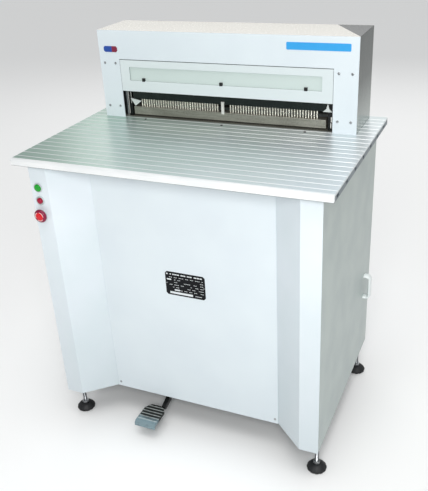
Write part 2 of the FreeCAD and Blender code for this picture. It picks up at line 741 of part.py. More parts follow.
def make_ram():
    """Ram with its ears, pin holder, pins and centre post, all moving together."""
    low_part = box("ram_low", (-ram_half, ram_y, ram_low), (ram_half, ram_rear, ram_top))
    ear_reach = plate_inner - S.ram_gap
    ear_low = ram_top - S.ear_high
    ears = box("ram_ears", (-ear_reach, ram_y, ear_low), (ear_reach, ram_rear, ram_top))

    def ear_hole(side, word):
        return rod("ear_hole_" + word, (rod_reach * side, rod_y, ear_low), S.rod_radius, S.ear_high)
    holes = both_sides(ear_hole)
    node("ram_bar", less("ram_bored", joined("ram_solid", [low_part, ears]), holes))
    holder = slab("holder", (-bar_half, ram_y, holder_low), (bar_half, bar_y + S.bar_deep, ram_low))
    node("punch_holder", bore_pins(holder, S.pin_clear))
    rows = []
    pin_low = bar_low + S.pin_radius
    for name, first, count in PIN_GROUPS:
        body = doc.addObject("PartDesign::Body", "pins_" + name)
        body.AllowCompound = True
        sketch = circle_on(body, "pin_%s_round" % name, (first, pin_y), S.pin_radius)
        bind(sketch, AttachmentOffset__Base__z=pin_low)
        pad = body.newObject("PartDesign::Pad", "pin_%s_pad" % name)
        pad.Profile = sketch
        bind(pad, Length=holder_low + S.pin_seat - pin_low)
        repeat(body, pad, sketch, S.pin_pitch, count)
        rows.append(body)
    node("punch_pins", group("punch_pin_rows", rows))
    post_x = (S.free_right - S.free_left) / 2
    post_rear = bar_y - S.post_clear
    post_front = post_rear - S.post_thick
    post_top = holder_low + S.post_wide
    post_outline = [(post_front, bar_top - S.post_drop), (post_rear, bar_top - S.post_drop),
                    (post_rear, holder_low), (ram_y, holder_low), (ram_y, post_top), (post_front, post_top)]
    node("centre_post", profile("post_body", "x", post_outline, post_x - S.post_wide / 2, S.post_wide))
    both = []
    for side, word in ((1, "right"), (-1, "left")):
        middle = rod_reach * side
        yoke_low = disc_height - S.yoke_high / 2
        yoke_top = disc_height + S.yoke_high / 2
        half_wide = S.yoke_wide / 2
        half_thick = S.yoke_thick / 2
        block = box("yoke_" + word, (middle - half_thick, rod_y - half_wide, yoke_low),
                    (middle + half_thick, rod_y + half_wide, yoke_top))
        free_y = S.disc_radius + S.stroke / 2 + S.yoke_clear
        free_z = S.disc_radius + S.yoke_clear
        window_low = (middle - half_thick, rod_y - free_y, disc_height - free_z)
        window_high = (middle + half_thick, rod_y + free_y, disc_height + free_z)
        window = box("yoke_window_" + word, window_low, window_high)
        both.append(less("yoke_open_" + word, block, [window]))
        nut_high = S.rod_nut / 2
        rod_long = ram_top + nut_high - yoke_top
        both.append(rod("pull_rod_" + word, (middle, rod_y, yoke_top), S.rod_radius, rod_long))
        nut_at = (middle, rod_y, ram_top)
        both.append(ring("rod_nut_" + word, nut_at, S.rod_radius, S.rod_nut, nut_high, "z"))
    node("pull_rods", group("pull_rod_set", both))


def make_drive():
    """Eccentric shaft, clutch hub, flywheel, belt and motor."""
    shaft_at = (-shaft_reach, rod_y, S.shaft_height)
    shaft = rod("shaft_bar", shaft_at, S.shaft_radius, shaft_reach * 2, "x")

    def disc(side, word):
        where = (rod_reach * side - S.disc_thick / 2, rod_y, disc_height)
        return rod("disc_" + word, where, S.disc_radius, S.disc_thick, "x")
    node("eccentric_shaft", joined("eccentric_shaft_solid", [shaft] + both_sides(disc)))
    hub_at = (-clutch_left, rod_y, S.shaft_height)
    node("clutch_hub", ring("clutch", hub_at, S.shaft_radius, S.clutch_radius, S.clutch_long, "x"))

    groove = S.belt_wide / 2 + S.gap
    web = S.wheel_thick / 3
    half = S.wheel_thick / 2
    floor = S.wheel_radius - S.belt_thick - S.gap
    rim = floor - S.belt_thick
    boss = S.clutch_radius
    bore = S.shaft_radius + S.run_clear
    left_half = [
        (half, bore), (half, boss), (web / 2, boss), (web / 2, rim), (half, rim), (half, S.wheel_radius),
        (groove, S.wheel_radius), (groove, floor),
    ]
    outline = [(-along, radius) for along, radius in left_half] + left_half[::-1]
    node("flywheel", turned("wheel", outline, (wheel_middle, rod_y, S.shaft_height), "x"))

    motor_z = frame_low + S.angle_leg + S.mount_thick + S.motor_rise
    pulley_floor = S.pulley_radius - S.belt_thick - S.gap
    lip = groove + S.belt_thick / 2
    shaft_end = -motor_left + S.motor_radius / 2 - wheel_middle
    outline = [
        (-lip, 0), (-lip, S.pulley_radius), (-groove, S.pulley_radius), (-groove, pulley_floor),
        (groove, pulley_floor), (groove, S.pulley_radius), (lip, S.pulley_radius), (lip, S.motor_shaft),
        (shaft_end, S.motor_shaft), (shaft_end, 0),
    ]
    node("motor_rotor", turned("rotor", outline, (wheel_middle, S.motor_back, motor_z), "x"))

    plate_z = frame_low + S.angle_leg
    plate_left = -(motor_left + S.motor_shaft)
    plate_right = -(motor_left - S.motor_long - S.motor_shaft)
    plate_end = (plate_right, S.rail_rear + S.angle_leg, plate_z + S.mount_thick)
    mounts.append(box("motor_plate", (plate_left, S.rail_front, plate_z), plate_end))
    deep = S.motor_radius / 2
    flange = S.mount_thick
    bore = S.motor_shaft + S.run_clear
    outline = [
        (0, bore), (0, S.motor_radius - flange), (flange, S.motor_radius),
        (S.motor_long - deep, S.motor_radius), (S.motor_long, S.motor_radius - flange * 2),
        (S.motor_long, 0), (deep + flange, 0), (deep + flange, bore),
    ]
    case = turned("motor_case", outline, (-motor_left, S.motor_back, motor_z), "x")
    foot_half = S.motor_foot / 2
    foot_start = -motor_left + deep
    foot = box("motor_foot", (foot_start, S.motor_back - foot_half, plate_z + S.mount_thick),
               (-motor_left + S.motor_long - S.motor_radius, S.motor_back + foot_half, motor_z - deep))
    terminal = box("motor_terminals", (foot_start, S.motor_back - deep, motor_z + deep),
                   (foot_start + S.motor_radius, S.motor_back + deep, motor_z + S.motor_radius + deep / 2))
    node("motor", joined("motor_solid", [case, foot, terminal]))

    belt = doc.addObject("Part::Feature", "belt_loop")
    belt.Shape = belt_shape((rod_y, S.shaft_height), S.wheel_radius - S.belt_thick,
                            (S.motor_back, motor_z), S.pulley_radius - S.belt_thick)
    belt.Placement = FreeCAD.Placement(FreeCAD.Vector((wheel_middle - S.belt_wide / 2).value, 0, 0),
                                       FreeCAD.Rotation())
    node("drive_belt", belt)


def belt_face(upper, upper_radius, lower, lower_radius):
    """The flat region inside a belt line round two wheels, in the YZ plane."""
    start = FreeCAD.Vector(0, upper[0].value, upper[1].value)
    end = FreeCAD.Vector(0, lower[0].value, lower[1].value)
    along = (end - start).normalize()
    across = FreeCAD.Vector(1, 0, 0).cross(along)
    lean = math.asin((upper_radius - lower_radius) / (end - start).Length)

    def touch(centre, radius, side):
        return centre + (along * math.sin(lean) + across * (side * math.cos(lean))) * radius

    upper_left = touch(start, upper_radius, 1)
    upper_right = touch(start, upper_radius, -1)
    lower_left = touch(end, lower_radius, 1)
    lower_right = touch(end, lower_radius, -1)
    edges = [
        Part.Arc(upper_left, start - along * upper_radius, upper_right),
        Part.LineSegment(upper_right, lower_right),
        Part.Arc(lower_right, end + along * lower_radius, lower_left),
        Part.LineSegment(lower_left, upper_left),
    ]
    return Part.Face(Part.Wire([edge.toShape() for edge in edges]))


def belt_shape(upper, upper_radius, lower, lower_radius):
    """A closed belt of even thickness outside the two inner radii."""
    thick = S.belt_thick.value
    inner = belt_face(upper, upper_radius.value, lower, lower_radius.value)
    outer = belt_face(upper, upper_radius.value + thick, lower, lower_radius.value + thick)
    return outer.cut(inner).extrude(FreeCAD.Vector(S.belt_wide.value, 0, 0))


def make_table():
    """Ridged deck on hollow planks, with a rounded front edging and the head's opening."""
    behind_edge = front + S.edge_depth
    cut_x = plate_outer + S.stop_gap
    cut_rear = plate_rear + S.gap
    deck_low = table_top - S.deck_thick
    deck = slab("deck", (-table_x, behind_edge, deck_low), (table_x, table_rear, table_top))
    half = S.groove_width / 2
    middle = front + S.ridge_pitch
    outline = [(middle - half, table_top), (middle, table_top - S.groove_depth), (middle + half, table_top)]
    sketch = sketch_on(deck, "x", outline, -table_x)
    groove = deck.newObject("PartDesign::Pocket", "deck_groove")
    groove.Profile = sketch
    groove.Type = "ThroughAll"
    groove.Reversed = True
    repeat(deck, groove, sketch, S.ridge_pitch, whole((table_rear - behind_edge) / S.ridge_pitch))
    opening_y = die_y - S.gap
    opening_low = (-cut_x, opening_y, deck_low - S.gap)
    opening = box("deck_opening", opening_low, (cut_x, cut_rear, table_top + S.gap))
    holes = [rod("deck_hole_%d" % (i + 2), (x, y, deck_low), S.shank_radius, S.deck_thick)
             for i, x, y in table_screw_places()]
    node("table_deck", less("deck_open", deck, [opening] + holes))

    planks = []
    half_pitch = S.slot_pitch / 2
    last = int(whole((table_rear - front - S.slot_first) / S.slot_pitch).value)
    for i in range(last + 1):
        centre = front + S.slot_first + S.slot_pitch * i
        start = behind_edge if i == 0 else centre - half_pitch
        end = table_rear if i == last else centre + half_pitch
        solid = box("plank_%d" % i, (-table_x, start, table_low), (table_x, end, deck_low))
        slot_low = table_low + (S.plank_thick - S.slot_height) / 2
        slot = box("plank_slot_%d" % i, (-table_x, centre - S.slot_width / 2, slot_low),
                   (table_x, centre + S.slot_width / 2, slot_low + S.slot_height))
        tools = [slot]
        if end.value > opening_y.value:
            tools.append(box("plank_opening_%d" % i, (-cut_x, opening_y, table_low - S.gap),
                             (cut_x, cut_rear, deck_low + S.gap)))
        planks.append(cut_by_each("plank_open_%d" % i, solid, tools))
    node("table_planks", group("plank_set", planks))

    edging = doc.addObject("PartDesign::Body", "edging")
    outline = [(front, table_low), (behind_edge, table_low), (behind_edge, table_top), (front, table_top)]
    sketch = sketch_on(edging, "x", outline, -table_x)
    pad = edging.newObject("PartDesign::Pad", "edging_pad")
    pad.Profile = sketch
    bind(pad, Length=S.table_width)
    edging.Tip = pad
    doc.recompute()
    nose = []
    for i, edge in enumerate(pad.Shape.Edges, start=1):
        box_of = edge.BoundBox
        if box_of.XLength > S.edge_depth.value and box_of.YMax < behind_edge.value - S.edge_round.value:
            nose.append("Edge%d" % i)
    fillet = edging.newObject("PartDesign::Fillet", "edging_round")
    fillet.Base = (pad, nose)
    bind(fillet, Radius=S.edge_round)
    edging.Tip = fillet
    node("table_edge", edging)


def cut_by_each(name, base, tools):
    """Takes tools out one after another, so that they may cross each other."""
    for i, tool in enumerate(tools):
        base = less("%s_%d" % (name, i), base, [tool])
    return base


def make_cabinet():
    """Column covers, front, side and back panels, and the side door."""
    t = S.sheet
    face_x = cabinet_x - S.column_face
    slant = root(S.column_chamfer * S.column_chamfer + S.panel_recess * S.panel_recess)
    front_corner = face_x + t * (slant - S.column_chamfer) / S.panel_recess
    flange_y = panel_y + t
    flange_outer = inner_x - t * S.column_chamfer / S.panel_recess
    flange_inner = flange_outer - S.column_flange
    rear_corner = face_x + (t * slant - (S.panel_recess + t * 2) * S.column_chamfer) / S.panel_recess
    inside_y = column_y + t
    return_y = column_y + S.column_return

    def column(side, word):
        outline = [
            (cabinet_x, column_y), (face_x, column_y), (flange_outer, flange_y), (flange_inner, flange_y),
            (flange_inner, flange_y + t), (rear_corner, flange_y + t), (front_corner, inside_y),
            (frame_x, inside_y), (frame_x, return_y), (frame_x + t, return_y), (frame_x + t, inside_y),
            (cabinet_x, inside_y),
        ]
        outline = [(x * side, y) for x, y in outline]
        cover = profile("column_" + word, "z", outline, S.cabinet_clear, table_low - S.cabinet_clear)
        tools = panel_screw_shanks("column_%s_hole" % word, side)
        low_x, high_x = span(side, frame_x - S.gap, frame_x + t + S.gap)
        half = S.foot_plate_long / 2 + S.gap
        tools.append(box("foot_notch_" + word, (low_x, foot_front_y - half, S.cabinet_clear),
                         (high_x, foot_front_y + half, frame_low + S.gap)))
        if side < 0:
            around = S.collar_radius
            tools.append(box("switch_notch", (low_x, inside_y, estop_height - around),
                             (high_x, column_y + S.switch_deep + S.gap, start_height + around)))
            free = S.button_radius + S.run_clear
            tools += [rod("switch_hole_%d" % i, (-button_left, column_y, z), free, t, "y")
                      for i, z in enumerate((start_height, stop_height, estop_height))]
        return less("column_cover_" + word, cover, tools)
    right, left = both_sides(column)
    node("right_column", right)
    node("left_column", left)

    half = flange_outer - S.gap
    face = box("front_sheet", (-half, panel_y, S.cabinet_clear), (half, panel_y + t, table_low - S.gap))
    flange_half = flange_inner - S.gap
    low_flange = box("front_low_flange", (-flange_half, panel_y, S.cabinet_clear),
                     (flange_half, panel_y + S.panel_flange, S.cabinet_clear + t))
    solid = joined("front_panel_solid", [face, low_flange])
    shanks = panel_screw_shanks("front_hole_right", 1) + panel_screw_shanks("front_hole_left", -1)
    node("front_panel", less("front_panel_bored", solid, shanks))

    edge_y = column_y + S.door_edge
    end_y = back_y - t - S.gap
    top_z = table_low - S.gap

    def side_sheet(side, word):
        low_x, high_x = span(side, cabinet_x - t, cabinet_x)
        return box("side_sheet_" + word, (low_x, edge_y, S.cabinet_clear), (high_x, end_y, top_z))

    inner = cabinet_x - t
    upright_middle = frame_front + S.angle_leg / 2
    stay_low = frame_low + S.gap
    stays = [box("side_stay_%d" % i, (-inner, y, stay_low), (-frame_x, y + t, top_z))
             for i, y in enumerate((upright_middle, frame_rear - S.angle_leg / 2))]
    solid = joined("left_side_solid", [side_sheet(-1, "left")] + stays)
    holes = [rod("left_side_gland_hole", (-cabinet_x, foot_rear_y, S.vent_low), S.gland_bore, t, "x")]
    holes += [rod("left_side_hole_%d" % i, (-cabinet_x, y, z), S.shank_radius, t, "x")
              for i, (y, z) in enumerate(side_screw_places())]
    node("left_side_panel", less("left_side_bored", solid, holes))
    gland_at = (-(cabinet_x + S.gland_long), foot_rear_y, S.vent_low)
    node("cable_gland", ring("gland", gland_at, S.gland_bore, S.gland_radius, S.gland_long, "x"))

    stiffener_low = (frame_x + t, end_y - t, stay_low)
    stiffener = box("door_rear_flange", stiffener_low, (inner, end_y, top_z - S.door_tab))
    pieces = [side_sheet(1, "right"), stiffener]
    holes = []
    pivots = []
    tab_x = door_pin_x - S.door_pin_inset
    tab_rear = door_pin_y + S.door_pin_inset + t
    bracket_x = frame_x + t
    for word, outer_z, up in (("top", table_low, -1), ("low", S.cabinet_clear, 1)):
        bracket = (outer_z, outer_z + (S.door_tab + t) * up)
        tab = (bracket[1] + S.gap * up, bracket[1] + (S.gap + S.door_tab) * up)
        pin_end = tab[1] + t * up
        for_low, for_high = (tab[1], tab[0]) if up < 0 else tab
        pieces.append(box("door_tab_" + word, (tab_x, edge_y, for_low), (inner, tab_rear, for_high)))
        pin_hole = S.door_pin + S.run_clear
        holes.append(rod("door_tab_hole_" + word, (door_pin_x, door_pin_y, for_low), pin_hole, S.door_tab))
        low_z, high_z = (bracket[1], bracket[0]) if up < 0 else bracket
        clear_x = inner - S.gap
        holes.append(box("door_notch_" + word, (clear_x, edge_y, low_z), (cabinet_x, tab_rear, high_z)))
        plate = box("pivot_bracket_" + word, (bracket_x, column_y + t, low_z), (clear_x, tab_rear, high_z))
        pin_low, pin_high = (pin_end, high_z) if up < 0 else (low_z, pin_end)
        pin = rod("pivot_pin_" + word, (door_pin_x, door_pin_y, pin_low), S.door_pin, pin_high - pin_low)
        pivots.append(joined("door_pivot_" + word, [plate, pin]))
    node("side_door", less("side_door_bored", joined("side_door_solid", pieces), holes))
    node("door_pivots", group("door_pivot_set", pivots))

    y_low = rear - S.handle_inset - S.handle_wide / 2
    y_high = rear - S.handle_inset + S.handle_wide / 2
    outer_x = cabinet_x + S.handle_stand
    handle_top = S.handle_low + S.handle_high
    bow = box("handle_bow", (cabinet_x, y_low, S.handle_low), (outer_x, y_high, handle_top))
    finger = box("handle_finger", (cabinet_x, y_low, S.handle_low + S.handle_grip),
                 (outer_x - S.handle_grip, y_high, handle_top - S.handle_grip))
    node("door_handle", less("handle_open", bow, [finger]))

    side = cabinet_x - t - S.gap
    inside = back_y - t
    back = box("back_sheet", (-side, inside, S.cabinet_clear), (side, back_y, table_low - S.gap))
    vents = []
    for i in range(int(S.vent_count.value)):
        for j, middle in enumerate((-side / 2, ZERO, side / 2)):
            base = S.vent_low + S.vent_pitch * i
            vents.append(box("vent_%d_%d" % (i, j), (middle - S.vent_wide / 2, inside, base),
                             (middle + S.vent_wide / 2, back_y, base + S.vent_high)))
    holes = [rod("back_hole_%d" % i, (x, inside, z), S.shank_radius, t, "y")
             for i, (x, z) in enumerate(back_screw_places())]
    node("back_panel", less("back_panel_vented", back, vents + holes))


def panel_screw_shanks(name, side):
    """Shanks of the front panel's screws on one side, also used to make their holes."""
    return [rod("%s_%d" % (name, i), (panel_screw_x * side, panel_y, z), S.shank_radius, S.shank_long, "y")
            for i, z in enumerate(panel_screw_heights())]


def panel_screw_heights():
    return S.cabinet_clear + S.panel_screw_edge, table_low - S.panel_screw_edge


def cheek_screw_places():
    return [(reach * side, table_top + rise) for side in (-1, 1)
            for reach in (window_half + S.cheek_screw_inner, head_x - S.cheek_screw_edge)
            for rise in (S.cheek_screw_low, S.cheek_screw_high)]


def table_screw_places():
    """Number and place of each screw in the table ahead of the head."""
    return [(i, (window_half - S.table_screw_inset) * i, head_y - S.table_screw_ahead) for i in (-1, 0, 1)]


def back_screw_places():
    """Screws of the back panel, which meet the rear uprights and cross rails."""
    upright = frame_x - S.angle_leg / 2
    low = S.cabinet_clear + S.cover_screw_low
    high = table_low - S.panel_screw_edge
    heights = (low, low + S.cover_screw_high, high)
    return [(x, z) for x in (-upright, upright) for z in heights] + [(ZERO, high)]


def side_screw_places():
    """Screws of the left panel, which meet the lowest and the highest side rail."""
    low = S.cabinet_clear + S.cover_screw_low
    high = table_low - S.panel_screw_edge
    return [(y, z) for y in (foot_front_y + S.angle_leg, foot_rear_y) for z in (low, high)]


def head_back_screw_places():
    """Screws of the head's back cover, over the turned-in edges of the wrap."""
    edge = head_x - S.cheek_screw_edge
    low = table_top + S.cheek_screw_low
    high = head_top - S.cheek_screw_low
    return [(-edge, low), (edge, low), (-edge, high), (ZERO, high), (edge, high)]


def make_head_covers():
    """Front casing with two cheeks, reflective wrap, back cover and the swing-up guard."""
    t = S.sheet
    half = window_half + S.gap
    seam = guard_top + S.guard_gap
    outline = [
        (-head_x, table_top), (-head_x, head_top), (head_x, head_top), (head_x, table_top),
        (half, table_top), (half, seam), (-half, seam), (-half, table_top),
    ]
    casing = profile("head_casing", "y", outline, head_y, t)
    holes = [rod("cheek_hole_%d" % i, (x, head_y, z), S.shank_radius, t, "y")
             for i, (x, z) in enumerate(cheek_screw_places())]
    node("head_front", less("head_casing_bored", casing, holes))
    wrap_rear = head_rear - t
    outer = box("wrap_outer", (-head_x, head_y + t, table_top), (head_x, wrap_rear, head_top))
    inner_side = head_x - t
    inner_rear = wrap_rear - t
    inner = box("wrap_inner", (-inner_side, head_y + t, table_top), (inner_side, inner_rear, head_top - t))
    opening_side = head_x - S.wrap_flange
    opening = box("wrap_opening", (-opening_side, inner_rear, table_top),
                  (opening_side, wrap_rear, head_top - S.wrap_flange))
    node("head_wrap", less("wrap_open", outer, [inner, opening]))
    holes = [rod("head_back_hole_%d" % i, (x, wrap_rear, z), S.shank_radius, t, "y")
             for i, (x, z) in enumerate(head_back_screw_places())]
    sheet_back = box("head_back_sheet", (-head_x, wrap_rear, table_top), (head_x, head_rear, head_top))
    node("head_back", less("head_back_bored", sheet_back, holes))

    side = window_half - S.gap
    deep = head_y + S.guard_depth
    recess_low = window_top + S.recess_low
    pan = box("guard_outer", (-side, head_y, window_top), (side, deep, guard_top))
    hollow_upper = box("guard_hollow_upper", (-(side - t), head_y + t, recess_low + S.recess_high + t),
                       (side - t, deep, guard_top - t))
    hollow_lower = box("guard_hollow_lower", (-(side - t), head_y + t, window_top + t),
                       (side - t, deep, recess_low - t))
    hollow_ends = both_sides(lambda s, w: guard_end_hollow(s, w, side, t, deep, recess_low))
    behind_half = recess_half + t
    behind = box("guard_hollow_behind", (-behind_half, head_y + S.recess_deep + t, recess_low - t),
                 (behind_half, deep, recess_low + S.recess_high + t))
    pocket = box("guard_recess", (-recess_half, head_y, recess_low),
                 (recess_half, head_y + S.recess_deep, recess_low + S.recess_high))
    pin_y_at = head_y + S.hinge_inset
    pin_z_at = guard_top - S.hinge_drop
    pin_free = S.hinge_pin + S.run_clear
    pin_holes = [rod("guard_pin_hole_" + w, (low, pin_y_at, pin_z_at), pin_free, t, "x")
                 for w, low in (("right", side - t), ("left", -side))]
    tools = [hollow_upper, hollow_lower, behind, pocket] + hollow_ends + pin_holes
    node("guard", cut_by_each("guard_pan", pan, tools))
    clips = []
    for i in (-1, 0, 1):
        middle = (recess_half - S.clip_end) * i
        low = (middle - S.clip_size / 2, head_y - t, recess_low - t)
        high = (middle + S.clip_size / 2, head_y + S.recess_deep, recess_low + S.clip_size - t)
        body = box("clip_%d" % (i + 2), low, high)
        lap = box("clip_lap_%d" % (i + 2), low, (high[0], head_y + S.recess_deep, recess_low))
        front_lap = box("clip_front_%d" % (i + 2), low, (high[0], head_y, high[2]))
        inner_part = less("clip_inner_%d" % (i + 2), body, [lap])
        clips.append(joined("clip_solid_%d" % (i + 2), [inner_part, front_lap]))
    node("guard_clips", group("clip_set", clips))

    def guard_pin(s, word):
        low_x, high_x = span(s, window_half + t, window_half + t + S.clip_size)
        plate = box("pin_bracket_" + word, (low_x, head_y + t, pin_z_at - S.clip_size),
                    (high_x, pin_y_at + S.clip_size / 2, pin_z_at + S.hinge_drop))
        reach = S.hinge_drop + t + t
        start = low_x - reach if s > 0 else high_x
        pin = rod("guard_pin_bar_" + word, (start, pin_y_at, pin_z_at), S.hinge_pin, reach, "x")
        return joined("guard_pin_" + word, [plate, pin])
    node("guard_pins", group("guard_pin_set", both_sides(guard_pin)))

    cut_plate("front_badge", (S.badge_inset - head_x, table_top + S.badge_low), S.badge_wide, S.badge_high,
              S.badge_high / 4, head_y)
    cut_plate("front_label", (head_x - S.label_inset - S.label_wide, table_top + S.label_low), S.label_wide,
              S.label_high, S.trim_round, head_y)
    cut_plate("data_plate", (-S.plate_wide / 2, S.plate_bottom), S.plate_wide, S.plate_high, S.plate_corner,
              panel_y)


def guard_end_hollow(side, word, half, t, deep, recess_low):
    """The hollow of the guard beside its recess."""
    low_x, high_x = span(side, recess_half + t, half - t)
    return box("guard_hollow_" + word, (low_x, head_y + t, recess_low - t),
               (high_x, deep, recess_low + S.recess_high + t))


def screw_facing_front(name, x, y, z):
    head = rod(name + "_head", (x, y - S.screw_high, z), S.screw_radius, S.screw_high, "y")
    shank = rod(name + "_shank", (x, y, z), S.shank_radius, S.shank_long, "y")
    return joined(name, [head, shank])


def screw_facing_back(name, x, y, z):
    """A screw in a sheet whose outer face lies at y."""
    head = rod(name + "_head", (x, y, z), S.screw_radius, S.screw_high, "y")
    shank = rod(name + "_shank", (x, y - S.sheet, z), S.shank_radius, S.sheet, "y")
    return joined(name, [head, shank])


def make_screws():
    """The screws of the head, the table and the front, back and left panels."""
    screws = [screw_facing_front("cheek_screw_%d" % i, x, head_y, z)
              for i, (x, z) in enumerate(cheek_screw_places())]
    for i, z in enumerate(panel_screw_heights()):
        for side in (-1, 1):
            name = "panel_screw_%d_%d" % (i, side + 1)
            screws.append(screw_facing_front(name, panel_screw_x * side, panel_y, z))
    for i, x, y in table_screw_places():
        head = rod("table_screw_head_%d" % (i + 2), (x, y, table_top), S.screw_radius, S.screw_high)
        low = (x, y, table_top - S.deck_thick)
        shank = rod("table_screw_shank_%d" % (i + 2), low, S.shank_radius, S.deck_thick)
        screws.append(joined("table_screw_%d" % (i + 2), [head, shank]))
    screws += [screw_facing_back("back_screw_%d" % i, x, back_y, z)
               for i, (x, z) in enumerate(back_screw_places())]
    screws += [screw_facing_back("head_back_screw_%d" % i, x, head_rear, z)
               for i, (x, z) in enumerate(head_back_screw_places())]
    for i, (y, z) in enumerate(side_screw_places()):
        head_at = (-(cabinet_x + S.screw_high), y, z)
        head = rod("side_screw_head_%d" % i, head_at, S.screw_radius, S.screw_high, "x")
        shank = rod("side_screw_shank_%d" % i, (-cabinet_x, y, z), S.shank_radius, S.frame_inset, "x")
        screws.append(joined("side_screw_%d" % i, [head, shank]))
    node("cover_screws", group("screw_set", screws))


def make_controls():
    """Three push buttons in the left column, with their switch bodies, and the control box."""
    bodies = []
    collar_in = S.button_radius + S.gap / 2
    neck = S.button_radius - S.button_stand / 2
    kinds = (("start_button", start_height), ("stop_button", stop_height), ("estop_button", estop_height))
    for label, height in kinds:
        where = (-button_left, column_y, height)
        floor = -S.collar_stand / 4
        bottom = S.switch_deep / 2 + S.collar_stand * 2
        bore = S.stem_radius + S.run_clear
        outline = [(-S.collar_stand, collar_in), (-S.collar_stand, S.collar_radius), (0, S.collar_radius),
                   (0, S.button_radius), (S.switch_deep, S.button_radius), (S.switch_deep, 0),
                   (bottom, 0), (bottom, bore), (floor, bore), (floor, collar_in)]
        bodies.append(turned(label + "_switch", outline, where, "y"))
        stem_end = S.switch_deep / 2
        if label == "estop_button":
            dome = S.mushroom_stand - S.button_radius
            throat = -S.mushroom_neck
            outline = [(stem_end, 0), (stem_end, S.stem_radius), (throat, S.stem_radius),
                       (throat, neck), (-dome, neck), (-dome, S.mushroom_radius),
                       (-S.mushroom_stand + S.button_stand / 2, S.mushroom_radius),
                       (-S.mushroom_stand, S.mushroom_radius - S.button_stand / 2), (-S.mushroom_stand, 0)]
        else:
            outline = [(stem_end, 0), (stem_end, S.stem_radius), (-S.collar_stand, S.stem_radius),
                       (-S.collar_stand, S.button_radius), (-S.button_stand, S.button_radius),
                       (-S.button_stand, 0)]
        node(label, turned(label + "_cap", outline, where, "y"))
    node("switch_bodies", group("switch_set", bodies))
    box_top = S.shaft_height + S.box_high
    box_y = panel_y + S.panel_flange
    node("control_box", box("control_case", (-frame_inner, box_y, S.shaft_height),
                            (-frame_inner + S.box_wide, box_y + S.box_deep, box_top)))


def make_chips():
    """Slanted chute from the die beam, and the bin on its shelf."""
    t = S.bin_sheet
    half = chute_half
    lean = S.chute_lean

    def slanted(name, low_x, high_x, inset):
        outline = [(die_y + inset, beam_low), (die_y + S.chute_mouth - inset, beam_low),
                   (die_y + S.chute_mouth - inset - lean, S.chute_end), (die_y + inset - lean, S.chute_end)]
        return profile(name, "x", outline, low_x, high_x - low_x)
    shell = less("chute_open", slanted("chute_outer", -half, half, ZERO),
                 [slanted("chute_inner", -half + t, half - t, t)])
    node("chip_chute", shell)

    wide = chute_half + S.bin_side
    low = (-wide, S.bin_front, S.shelf_height)
    high = (wide, S.bin_front + S.bin_deep, S.shelf_height + S.bin_high)
    tray = less("bin_open", box("bin_outer", low, high),
                [box("bin_inner", [near + t for near in low], (high[0] - t, high[1] - t, high[2]))])
    node("chip_bin", tray)
    shelf = box("shelf_sheet", (-frame_x, S.bin_front - S.stop_gap, shelf_low),
                (frame_x, S.bin_front + S.bin_deep + S.stop_gap, S.shelf_height))
    hole = rod("shelf_hole", (-link_left, link_y, shelf_low), S.link_radius * 3, S.shelf_thick)
    node("bin_shelf", less("shelf_bored", shelf, [hole]))


